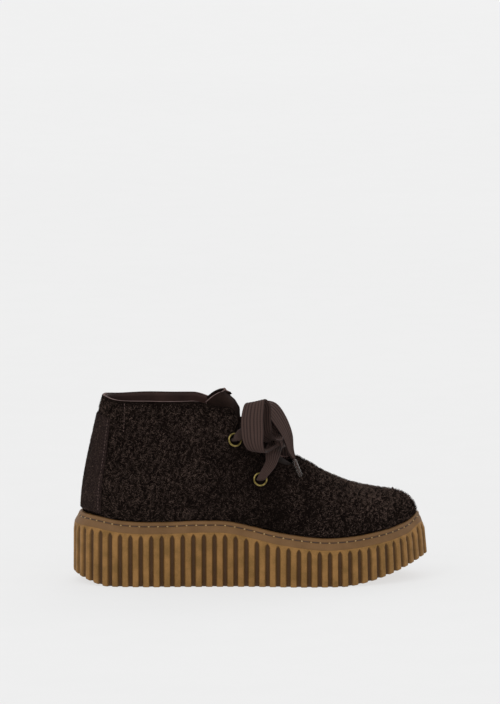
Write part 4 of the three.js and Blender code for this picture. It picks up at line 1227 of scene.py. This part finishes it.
@dataclass
class Upper:
    """Hollow suede upper: vamp, quarters, lining, back strip and their seams."""

    skin: float = 1.1
    strip_station: float = 0.17
    strip_low: float = 0.03
    strip_high: float = 0.84
    strip_thickness: float = 1.0
    strip_reach: float = 24.0  # mm from the heel and from the middle that it covers
    seam_station: float = 0.232
    seam_pitch: float = 2.6
    eyelet_clear: float = 5.6

    @property
    def strip_lift(self) -> float:
        """How far the back strip's outside stands off the upper's surface, mm."""
        return QUARTER_STEP + 1.5 * GAP + self.strip_thickness

    def front(self, side: float, v: Array) -> Array:
        """Station of the quarters' front edge at each share of the way up."""
        at = np.linspace(0.35, 0.66, 300)
        made = []
        for share in v:
            p = upper_point(side, at, share, QUARTER_STEP, False)
            past = p[:, 0] > quarter_front(p[:, 2])
            made.append(at[np.argmax(past)] if past.any() else at[-1])
        return np.array(made)

    def build_vamp(self) -> Piece:
        """Front of the upper, under the quarters' front edges."""

        def place(u: Array, v: Array) -> Array:
            """Point of the vamp, from the lateral edge round the toe to the medial edge."""
            side, out = around(u)
            at = np.minimum(0.42 + 0.58 * (1 - out), 1)
            return upper_point(side, at, v * (dip(at) - 0.01 * (at < 0.6)), 0)

        bm = grid(160, 44, place)
        face_out(bm, inside=(190, 12, 45))
        piece = make("vamp", bm, "suede", SUEDE.material(), replaces=["upper"])
        thicken(piece, self.skin)
        return piece

    def build_quarters(self) -> Piece:
        """Back of the upper in one sheet from front edge to front edge."""
        shares = np.linspace(0, 1, 61)
        fronts = {s: self.front(s, shares) for s in (-1.0, 1.0)}

        def place(u: Array, v: Array) -> Array:
            """Point of the quarters, from one front edge round the heel to the other."""
            side, out = around(u)
            lateral, medial = (np.interp(v, shares, fronts[s]) for s in (-1.0, 1.0))
            at = out * np.where(side < 0, lateral, medial)
            return upper_point(side, at, v * dip(at), QUARTER_STEP)

        bm = grid(200, 60, place)
        face_out(bm, inside=(80, 5, 70))
        suede, edge = SUEDE.material(), CUT_EDGE.material()
        piece = make("quarters", bm, "suede", suede, edge, replaces=["upper"])
        thicken(piece, QUARTER_STEP + self.skin, rim=1)
        return piece

    def build_lining(self) -> Piece:
        """Smooth leather inside."""

        def place(u: Array, v: Array) -> Array:
            """Point of the lining, from the heel round the toe and back."""
            side, out = around(u)
            return upper_point(side, 1 - out, v * 0.995 * dip(1 - out), -WALL)

        bm = grid(150, 36, place)
        face_out(bm, inside=(120, 8, 60))
        bmesh.ops.reverse_faces(bm, faces=bm.faces[:])
        piece = make("lining", bm, "suede", LINING.material(), replaces=["upper"])
        thicken(piece, self.skin - 0.05)
        return piece

    def build_strip(self) -> Piece:
        """Back strip over the heel seam."""

        def place(u: Array, v: Array) -> Array:
            """Point of the strip, from its lateral edge to its medial edge."""
            side, out = around(u)
            share = self.strip_low + (self.strip_high - self.strip_low) * v
            return upper_point(side, out * self.strip_station, share, self.strip_lift)

        bm = grid(40, 60, place)
        face_out(bm, inside=(60, 0, 90))
        suede = STRIP_SUEDE.material()
        piece = make("back_strip", bm, "backstay_leather", suede, replaces=["backstay"])
        thicken(piece, self.strip_thickness)
        return piece

    def seam(self, name: str, side: Side, at: float, v: Array, lift: float) -> Piece:
        """Row of short stitches.

        Args:
            name: the piece's name.
            side: the shoe's side.
            at: the seam's station.
            v: shares of the way up along it.
            lift: mm outside the upper's surface.

        Returns:
            The stitches.
        """
        line = upper_point(float(side.value), at, v, lift)
        run = distances(line)
        count = max(2, round(run[-1] / self.seam_pitch))
        mid = (np.arange(count) + 0.5) * run[-1] / count

        def along(s: Array) -> Array:
            """Point at a distance along the seam."""
            return np.stack([np.interp(s, run, line[:, i]) for i in range(3)], -1)

        shape = bead(6, 4, (0.95, 0.27, 0.27))
        up = np.tile([0.1, 0.2, 1.0], (count, 1))
        frames = frames_from(along(mid), along(mid + 0.5) - along(mid - 0.5), up, MM)
        return adopt(name, copies(name, shape, frames), "suede", SEAM_THREAD.material())

    def bare(self, eyelets: Array) -> Callable[[Array], Array]:
        """Tells which points stay without nap: round the eyelets and under the back strip."""

        def test(points: Array) -> Array:
            """Whether each point is bare."""
            off = np.linalg.norm(points[:, None] - eyelets[None], axis=2).min(1)
            x, y, z = points.T
            strip = (x < self.strip_reach) & (np.abs(y) < self.strip_reach)
            under = z < top_height(x) + UPPER_HEIGHT * self.strip_high
            return (off < self.eyelet_clear) | (strip & under)

        return test

    def build(self, eyelets: Array) -> None:
        """Builds the whole upper.

        Args:
            eyelets: mm middles of the eyelets, where the nap lies flat, so none is grown.
        """
        vamp, quarters = self.build_vamp(), self.build_quarters()
        self.build_lining()
        strip = self.build_strip()
        bare = self.bare(eyelets)

        def hidden(points: Array) -> Array:
            """Whether each point of the vamp lies under the quarters."""
            return points[:, 0] < quarter_front(points[:, 2]) - 2

        Nap(seed=3, stand=0.52).build("vamp_nap", vamp, hidden)
        lateral = Nap(seed=4, most=120000, trimmed=True)
        lateral.build("quarter_nap_lateral", quarters, lambda p: bare(p) | (p[:, 1] > 1.0))
        medial = Nap(seed=5, most=120000, trimmed=True)
        medial.build("quarter_nap_medial", quarters, lambda p: bare(p) | (p[:, 1] <= 1.0))
        short = Nap(density=6, length=(0.6, 1.5), width=0.16, stand=0.5, most=30000, seed=6)
        short.build("strip_nap", strip, slot="backstay_leather")
        heel = np.linspace(0.74, 0.985, 20)
        edge = np.linspace(self.strip_low + 0.02, self.strip_high - 0.02, 60)
        for side in Side:
            name = side.name.lower()
            self.seam(f"heel_seam_{name}", side, self.seam_station, heel, QUARTER_STEP + 0.5)
            station, lift = self.strip_station - 0.012, self.strip_lift + 0.1
            self.seam(f"strip_seam_{name}", side, station, edge, lift)


@dataclass
class Tongue:
    """Smooth leather tongue, its top standing above the collar."""

    thickness: float = 2.0
    side_rise: float = 0.35  # share of the top's rise that its two edges take part in
    bulge: float = 7.5  # how far it stands out through the throat above the laces

    def build(self) -> Piece:
        """The tongue as one curved sheet."""
        lift = -(WALL + TONGUE_CLEARANCE)

        def place(u: Array, v: Array) -> Array:
            """Point of the tongue; u runs across it, v from its foot to its top."""
            row = v * TONGUE.along[-1]
            b = 2 * u - 1
            middle, edge = TONGUE.read("middle", row), TONGUE.read("edge", row)
            turn = b * TONGUE.read("wrap", row)
            above = smooth(np.clip((row - 6.3) / 1.5, 0, 1))
            below = smooth(np.clip((12.1 - row) / 3.4, 0, 1))
            full = self.bulge * above * below * (1 - b * b) ** 2
            point = instep(middle + (edge - middle) * np.abs(b), turn, lift + full)
            rise = TONGUE.read("rise", row) * (1 - (1 - self.side_rise) * b * b)
            point[:, 2] += np.maximum(rise, 0)
            return point

        bm = grid(40, 72, place)
        face_out(bm, inside=(140, 10, 60))
        leather, edge = TONGUE_LEATHER.material(), CUT_EDGE.material()
        piece = make("tongue_sheet", bm, "tongue_leather", leather, edge, replaces=["tongue"])
        thicken(piece, self.thickness, rim=1)
        return piece


@dataclass(frozen=True)
class EyeletPlace:
    """An eyelet's name and place on the upper."""

    name: str
    at: float
    v: float


EYELETS = (EyeletPlace("upper", 0.482, 0.64), EyeletPlace("lower", 0.532, 0.55))


@dataclass
class Eyelets:
    """Four rolled brass eyelets."""

    radius: float = 5.6
    hole: float = 4.0
    wall: float = 0.6
    depth: float = 3.4  # of its tube

    def frame(self, side: Side, eyelet: EyeletPlace) -> tuple[Array, Array]:
        """Middle and outward direction of an eyelet, mm."""
        s, at, v = (np.array([a]) for a in (float(side.value), eyelet.at, eyelet.v))
        out = form_normal(s, at, kept(at, v))
        return (upper_point(s, at, v, 0, False) + out * QUARTER_STEP)[0], out[0]

    def middles(self) -> Array:
        """Middles of all four."""
        return np.array([self.frame(side, e)[0] for side in Side for e in EYELETS])

    def build_one(self, side: Side, eyelet: EyeletPlace) -> Piece:
        """One eyelet: a tube through the wall with a rolled flange."""
        middle, out = self.frame(side, eyelet)
        r, clear = self.hole, 1.5 * GAP
        profile = [
            (r, -self.depth), (r, -1.0), (r, clear + 0.3), (r + 0.15, clear + 0.62),
            (r + 0.5, clear + 0.92), (r + 0.85, clear + 0.98), (r + 1.2, clear + 0.8),
            (r + 1.48, clear + 0.45), (self.radius, clear + 0.08),
            (self.radius - 0.15, clear - 0.1), (r + self.wall, clear), (r + self.wall, -self.depth),
        ]
        bm = turned(profile, 40, closed=True)
        bmesh.ops.transform(bm, verts=bm.verts[:], matrix=upright(middle, out))
        node = f"eyelet_{side.name.lower()}_{eyelet.name}"
        return make(f"brass_{node}", bm, "antique_brass", BRASS.material(), replaces=[node])

    def build(self) -> None:
        """All four eyelets."""
        for side in Side:
            for eyelet in EYELETS:
                self.build_one(side, eyelet)


Row = tuple[float, float, float, float, float, float, float]

# Free lace beside the knot: x, y, z in mm from the knot's middle, width, direction of its width.
# Some rows lie up to 4 mm from the solids' and are wider, so that the bow closes at the knot.
LATERAL_LOOP: tuple[Row, ...] = (
    (-2.1, -7.3, -2.9, 4, 0.84, -0.2, 0.4), (-8, -12.8, -5, 6, 0.84, -0.54, 0),
    (-13, -17.8, -5.5, 11, 0.84, -0.54, 0), (-16.5, -22.3, -4, 15, 0.84, -0.54, 0),
    (-19, -23.8, 1.5, 18, 0.84, -0.54, 0), (-20, -22.3, 10.5, 19, 0.9, -0.44, 0),
    (-20, -19.3, 23, 19, 0.9, -0.44, 0.1), (-17.5, -13.8, 32.5, 18, 0.86, -0.46, 0.26),
    (-13, -8.8, 28.5, 16, 0.84, -0.5, 0.2), (-12, -6.3, 17.5, 15, 0.84, -0.54, 0),
    (-10, -5.3, 6, 15, 0.84, -0.54, 0), (-2.7, -5.4, 2, 14, 0.84, -0.54, 0),
)
MEDIAL_LOOP: tuple[Row, ...] = (
    (1, 8.7, 4.7, 4, 0.9, 0.3, 0), (-4, 15.2, 8.5, 8, 0.8, 0.3, -0.5),
    (-7.5, 23.2, 9.5, 13, 0.8, 0.35, -0.35), (-10.5, 36.7, 7, 17, 0.9, 0.44, 0),
    (-13.5, 48.7, 6, 18, 0.9, 0.44, 0), (-14.5, 52.2, 13, 19, 0.92, 0.38, 0),
    (-12.5, 44.2, 20, 17, 0.9, 0.44, 0), (-9.5, 29.2, 19.5, 12, 0.9, 0.44, 0),
    (-3.5, 16.2, 14.5, 6, 0.9, 0.44, 0), (0.8, 6, 8.5, 4, 0.9, 0.3, 0),
)
LATERAL_END: tuple[Row, ...] = (
    (-0.9, -0.2, 6.1, 9, 0.5, 0.6, 0.4), (-3.5, 0.7, 10.5, 13, 0.75, 0.5, 0.45),
    (-8.5, 2.7, 16.5, 13, 0.7, 0.6, 0.4), (-12.5, 2.2, 23.5, 14, 0.3, 0.9, 0.3),
    (-11.5, 1.2, 28, 17, -0.1, 0.92, 0.3), (-5.5, 1.2, 25, 18, 0.45, 0.84, 0.34),
    (1, 1.2, 16.5, 17, 0.55, 0.8, 0.25), (7, 0.7, 4, 13, 0.55, 0.8, 0.2),
    (9.5, -0.3, -7.5, 8, 0.5, 0.85, 0.2), (12, -1.8, -13.5, 3.2, 0.4, 0.8, 0.4),
)
MEDIAL_END: tuple[Row, ...] = (
    (4.4, 7.6, 2.4, 4, 0.8, 0.3, 0.4), (4, 22.2, 7.5, 9, 0.8, 0.2, 0.3),
    (3, 36.7, 4.5, 13, 0.85, 0, 0.3), (3, 50.2, -6.5, 16, 0.85, 0, 0.3),
    (4.5, 60.7, -22, 14, 0.9, 0, 0.3), (7, 65, -38.5, 9, 0.9, 0, 0.3),
    (9, 67.5, -49, 3.2, 0.9, 0, 0.3),
)


@dataclass
class Ribbon:
    """Flat lace swept along rows of place, width and width direction."""

    places: Array
    widths: Array
    across: Array
    thickness: float = 1.4
    ribs: int = 7
    ridge: float = 0.3  # height of its lengthwise ribs, mm

    def point(self, t: Array) -> Array:
        """Centripetal curve through the rows' places."""
        q = self.places
        p = np.concatenate([[2 * q[0] - q[1]], q, [2 * q[-1] - q[-2]]])
        last = len(q) - 1
        i = np.clip((t * last).astype(int), 0, last - 1)
        w = (t * last - i)[:, None]
        x0, x1, x2, x3 = (p[i + k] for k in range(4))
        pairs = ((x0, x1), (x1, x2), (x2, x3))
        d0, d1, d2 = (np.sqrt(np.linalg.norm(b - a, axis=1))[:, None] for a, b in pairs)
        t1 = ((x1 - x0) / d0 - (x2 - x0) / (d0 + d1) + (x2 - x1) / d1) * d1
        t2 = ((x2 - x1) / d1 - (x3 - x1) / (d1 + d2) + (x3 - x2) / d2) * d1
        square, cube = -3 * x1 + 3 * x2 - 2 * t1 - t2, 2 * x1 - 2 * x2 + t1 + t2
        return x1 + t1 * w + square * w**2 + cube * w**3

    def section(self, u: Array, width: Array) -> tuple[Array, Array]:
        """Point of the lace's section: across and up, mm, for u once round it."""
        angle = 2 * np.pi * u
        flat = np.sign(np.cos(angle)) * np.abs(np.cos(angle)) ** 0.9
        edge = np.abs(np.sin(angle)) ** 0.35
        ribs = self.ridge * (1 - np.abs(np.sin(np.pi * self.ribs * (flat + 1) / 2)) ** 0.7)
        gather = 1 + 0.9 * np.clip(1 - width / 19, 0, 1)
        up = np.sign(np.sin(angle)) * edge * (self.thickness / 2 * gather - ribs)
        curl = 0.35 * np.clip(1 - width / 16, 0, 1) * (flat**2 - 0.4) * width / 5
        return flat * width / 2, up + curl

    def line(self, count: int) -> Array:
        """Centres of the lace's rings, mm."""
        return self.point(np.linspace(0, 1, count + 1))

    def mesh(self, rings: int) -> Shape:
        """The lace, closed at both ends, with a UV map in mm."""
        rows = Table("at width x y z", *np.column_stack([
            np.linspace(0, 1, len(self.places)), self.widths, self.across
        ]))
        length = distances(self.line(200))[-1]

        def place(u: Array, v: Array) -> Array:
            """Point of the lace; u runs once round it, v along it."""
            here = self.point(v)
            ends = np.minimum(v + NUDGE, 1), np.maximum(v - NUDGE, 0)
            along = unit(self.point(ends[0]) - self.point(ends[1]))
            side = np.stack([rows.read(k, v) for k in "xyz"], -1)
            side = unit(side - along * np.sum(side * along, -1, keepdims=True))
            up = np.cross(along, side)
            flat, high = self.section(u, np.maximum(rows.read("width", v), 2.2))
            return here + side * flat[:, None] + up * high[:, None]

        bm = grid(112, rings, place)
        layer = bm.loops.layers.uv.active
        for face in bm.faces:
            for loop in face.loops:
                u, v = loop[layer].uv
                loop[layer].uv = (u, v * length)
        bmesh.ops.holes_fill(bm, edges=[e for e in bm.edges if e.is_boundary], sides=0)
        bmesh.ops.recalc_face_normals(bm, faces=bm.faces[:])
        return bm


@dataclass
class Laces:
    """Lace through the eyelets, knot, loops and ends."""

    eyelets: Eyelets
    width: float = 12.5
    threaded_width: float = 5.8
    bar_station: float = 0.604
    knot_station: float = 0.583
    knot_length: float = 13.6
    knot_height: float = 8.0
    knot_turn: float = -0.2
    wrap_reach: tuple[float, float] = (4.3, 3.5)  # of the lace wound round the knot
    aglet_length: float = 15.0
    aglet_radius: float = 1.6
    core_length: float = 13.5  # of the lace's end inside the film

    def knot_frame(self) -> tuple[Array, Array]:
        """The knot's middle and outward direction, mm."""
        station, turn = np.array([self.knot_station]), np.array([self.knot_turn])
        normal = form_normal(np.array([-1.0]), station, 1 - np.abs(turn))[0]
        return instep(station, turn, QUARTER_STEP + 3.5 + self.knot_height / 2)[0], normal

    def threaded(self, side: Side, eyelet: EyeletPlace) -> list[tuple[Array, float, Array]]:
        """Rows where the lace passes an eyelet, from inside the upper to just outside."""
        middle, out = self.eyelets.frame(side, eyelet)
        across = unit(np.cross([0, 0, 1.0], out))
        steps = (-WALL - QUARTER_STEP - 1.8, -1.5, 1.5, 3.6)
        return [(middle + out * d, self.threaded_width, across) for d in steps]

    @staticmethod
    def over(at: float, turn: float, lift: float, width: float) -> tuple[Array, float, Array]:
        """Row of a lace that lies over the form, its width along the shoe."""
        side = np.array([-1.0 if turn < 0 else 1.0])
        station = at - 0.1 * abs(turn)
        t = np.array([1 - abs(turn)])
        ends = [form_point(side, np.array([station + d]), t)[0] for d in (0.02, -0.02)]
        place = instep(np.array([station]), np.array([turn]), lift)[0]
        return place, width, unit(ends[0] - ends[1])

    def ribbon(self, rows: Sequence[tuple[Array, float, Array]], **sizes: float) -> Ribbon:
        """Ribbon through rows of place, width and width direction."""
        places, widths, across = zip(*rows)
        return Ribbon(np.array(places), np.array(widths), np.array(across), **sizes)

    def build_lacing(self) -> None:
        """Bar across the lower eyelets, crossing runs beneath, leads to the knot."""
        upper, lower = EYELETS
        half = ((-0.42, 3, 9), (-0.32, 2.4, self.width), (-0.16, 2.2, self.width))
        bar = (*half, (0, 2.2, self.width), *((-turn, k, w) for turn, k, w in reversed(half)))
        rows = self.threaded(Side.LATERAL, lower)
        rows += [self.over(self.bar_station, t, QUARTER_STEP + k, w) for t, k, w in bar]
        rows += self.threaded(Side.MEDIAL, lower)[::-1]
        pieces = [("lace_bar", self.ribbon(rows), 90)]
        under = -(WALL + TONGUE_CLEARANCE * 0.42)
        for side, other in ((Side.LATERAL, Side.MEDIAL), (Side.MEDIAL, Side.LATERAL)):
            sign, name = side.value, side.name.lower()
            middle = [
                self.over(0.575 - 0.012 * i, sign * turn, under, self.width * 0.6)
                for i, turn in enumerate((0.36, 0.2, 0, -0.2, -0.36))
            ]
            rows = [self.threaded(side, lower)[0], *middle, self.threaded(other, upper)[0]]
            pieces.append((f"lace_cross_{name}", self.ribbon(rows, thickness=1.0, ridge=0.12), 50))
            rows = self.threaded(side, upper) + [
                self.over(0.535, sign * 0.33, QUARTER_STEP + 3.8, 8),
                self.over(0.56, sign * 0.27, QUARTER_STEP + 2.6, 9),
            ]
            pieces.append((f"lace_lead_{name}", self.ribbon(rows), 40))
        for name, ribbon, rings in pieces:
            make(name, ribbon.mesh(rings), "lace_cotton", LACE.material(), replaces=["lacing"])

    def build_knot(self) -> Piece:
        """Tight knot: a ribbed lump with the lace wound round its middle."""
        middle, normal = self.knot_frame()
        along = unit(np.cross([0, 1.0, 0], normal))
        long = np.cross(normal, along)
        bm = bmesh.new()
        bm.loops.layers.uv.new("UVMap")
        bmesh.ops.create_uvsphere(bm, u_segments=28, v_segments=16, radius=0.5, calc_uvs=True)
        size = (self.knot_height * 1.05, self.knot_height * 0.9, self.knot_length)
        bmesh.ops.scale(bm, verts=bm.verts[:], vec=size)
        for vert in bm.verts:
            wave = 1 + 0.05 * math.cos(vert.co.z * 2.6 + 0.8 * math.atan2(vert.co.y, vert.co.x))
            vert.co.x *= wave
            vert.co.y *= wave
        layer = bm.loops.layers.uv.active
        for face in bm.faces:
            for loop in face.loops:
                loop[layer].uv = (loop[layer].uv[0], loop[layer].uv[1] * 20)
        frame = np.eye(4)
        frame[:3, 0], frame[:3, 1], frame[:3, 2] = along / 1000, normal / 1000, long / 1000
        frame[:3, 3] = to_frame(middle)
        bmesh.ops.transform(bm, verts=bm.verts[:], matrix=Matrix(frame.tolist()))
        bmesh.ops.recalc_face_normals(bm, faces=bm.faces[:])
        lump = make("knot_core", bm, "lace_cotton", LACE.material(), replaces=["knot"])
        wide, high = self.wrap_reach
        wind = []
        for a in np.linspace(0, 2 * np.pi * 1.2, 16):
            ring = middle + along * wide * math.cos(a) + normal * high * math.sin(a)
            wind.append((ring + long * (0.6 * a - 2.2), 8.0, long + 0.1 * along))
        wrap = self.ribbon(wind, thickness=0.9, ridge=0.15)
        make("knot_wrap", wrap.mesh(70), "lace_cotton", LACE.material(), replaces=["knot"])
        return lump

    def build_aglet(self, name: str, rows: Sequence[Row], droop: Sequence[float]) -> Piece:
        """Clear film tip round the lace's core, in the lace's last direction.

        Args:
            name: the CAD node that it stands for.
            rows: rows of the lace's end.
            droop: mm added to the last direction.

        Returns:
            The film's piece.
        """
        before, last = (np.array(row[:3], dtype=float) for row in rows[-2:])
        along = unit(last - before + np.array(droop))
        start = last + self.knot_frame()[0] + along * GAP * 2.4
        profile = [
            (0.0, 0.0), (1.2, 0.0), (self.aglet_radius, 0.5), (self.aglet_radius, 7.0),
            (self.aglet_radius * 0.95, 14.4), (1.25, self.aglet_length), (0.0, self.aglet_length),
        ]
        bm, place = turned(profile, 20), upright(start, along)
        # Painted reflection: the film is drawn whiter and less clear towards its two edges as seen
        # from the camera.
        sides = unit(np.cross(along, [0, 1.0, 0]))
        reflection_layer = bm.verts.layers.float.new("painted_edge_reflection")
        bmesh.ops.transform(bm, verts=bm.verts[:], matrix=place)
        for vert in bm.verts:
            off = np.array(vert.co) * 1000 - to_frame(start) * 1000
            vert[reflection_layer] = min(1.0, (abs(float(off @ sides)) / self.aglet_radius) ** 12)
        core = bmesh.new()
        core.loops.layers.uv.new("UVMap")
        bmesh.ops.create_cone(
            core, cap_ends=True, segments=10, radius1=1.25, radius2=0.8, depth=self.core_length,
            calc_uvs=True,
        )
        bmesh.ops.translate(core, verts=core.verts[:], vec=(0, 0, 7.0))
        bmesh.ops.transform(core, verts=core.verts[:], matrix=place)
        bmesh.ops.recalc_face_normals(core, faces=core.faces[:])
        make(f"core_{name}", core, "lace_cotton", LACE.material())
        return make(f"film_{name}", bm, "aglet_film", FILM.material(), replaces=[name])

    def build_free(
        self, side: Side, loop: Sequence[Row], end: Sequence[Row]
    ) -> None:
        """One half of the bow, from the knot round its loop, through the knot and to its end.

        Args:
            side: the shoe's side.
            loop: rows of the loop.
            end: rows of the end.
        """
        start = self.knot_frame()[0]
        rows = [
            (np.array(row[:3]) + start, float(row[3]), np.array(row[4:], dtype=float))
            for row in (*loop, *end)
        ]
        ribbon = self.ribbon(rows)
        name = side.name.lower()
        cotton, nodes = LACE.material(), [f"loop_{name}", f"end_{name}"]
        piece = make(f"lace_{name}", ribbon.mesh(260), "lace_cotton", cotton, replaces=nodes)
        path = to_frame(ribbon.line(260))
        length = float(np.linalg.norm(np.diff(path, axis=0), axis=1).sum())
        LOG.info("%s: %.1f mm of lace", piece.name, length * 1000)

    def build(self) -> None:
        """All of the lace."""
        self.build_lacing()
        knot = self.build_knot()
        outer = self.build_aglet("aglet_lateral", LATERAL_END, (1, -3, -2))
        inner = self.build_aglet("aglet_medial", MEDIAL_END, (0, 0, 0))
        self.build_free(Side.LATERAL, LATERAL_LOOP, LATERAL_END)
        self.build_free(Side.MEDIAL, MEDIAL_LOOP, MEDIAL_END)


@dataclass
class Studio:
    """Pale floor, soft lights and the camera."""

    elevation: float = 7.5
    distance: float = 6.0
    aim: tuple[float, float, float] = (-0.0004, 0.0, 0.1773)
    view_height: float = 0.5474  # what the long side of the picture shows at the aim, m

    def camera(self) -> None:
        """Long lens square to the shoe's lateral side."""
        data = bpy.data.cameras.new("camera")
        data.sensor_width = 36.0
        data.lens = 36.0 * self.distance / self.view_height
        data.clip_start, data.clip_end = 0.1, 60.0
        piece = link("camera", data)
        e = math.radians(self.elevation)
        back = Vector((0, -math.cos(e), math.sin(e)))
        piece.location = Vector(self.aim) + back * self.distance
        piece.rotation_euler = (-back).to_track_quat("-Z", "Y").to_euler()
        bpy.context.scene.camera = piece

    def light(self, name: str, place: Sequence[float], size: float, power: float) -> None:
        """Square softbox that faces the shoe."""
        data = bpy.data.lights.new(name, "AREA")
        data.size, data.energy = size, power
        piece = link(name, data)
        piece.location = place
        way = Vector((0, 0, 0.06)) - Vector(place)
        piece.rotation_euler = way.to_track_quat("-Z", "Y").to_euler()

    def floor(self) -> None:
        """Seamless floor."""
        bm = bmesh.new()
        bmesh.ops.create_grid(bm, x_segments=1, y_segments=1, size=30)
        mesh = bpy.data.meshes.new("studio_floor")
        bm.to_mesh(mesh)
        bm.free()
        mesh.materials.append(FLOOR.material())
        piece = link("studio_floor", mesh)

    def build(self) -> None:
        """The whole studio."""
        scene = bpy.context.scene
        scene.view_settings.view_transform = "Standard"
        world = bpy.data.worlds.new("studio")
        world.use_nodes = True
        sky = world.node_tree.nodes["Background"].inputs
        sky["Color"].default_value, sky["Strength"].default_value = (1, 1, 1, 1), 0.9
        scene.world = world
        self.floor()
        self.light("key", (-2.6, -2.4, 4.2), 2.2, 42)
        self.light("back", (1.5, 9.0, 6.5), 7.0, 330)


def main() -> None:
    """Dresses the shoe piece by piece."""
    logging.basicConfig(level=logging.INFO, format="%(name)s: %(message)s")
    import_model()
    studio = Studio()
    studio.camera()
    eyelets = Eyelets()
    Laces(eyelets).build()
    PlatformSole().build()
    Footbed().build()
    Upper().build(eyelets.middles())
    Tongue().build()
    eyelets.build()
    studio.build()
    bpy.context.view_layer.update()


if __name__ == "__main__":
    main()
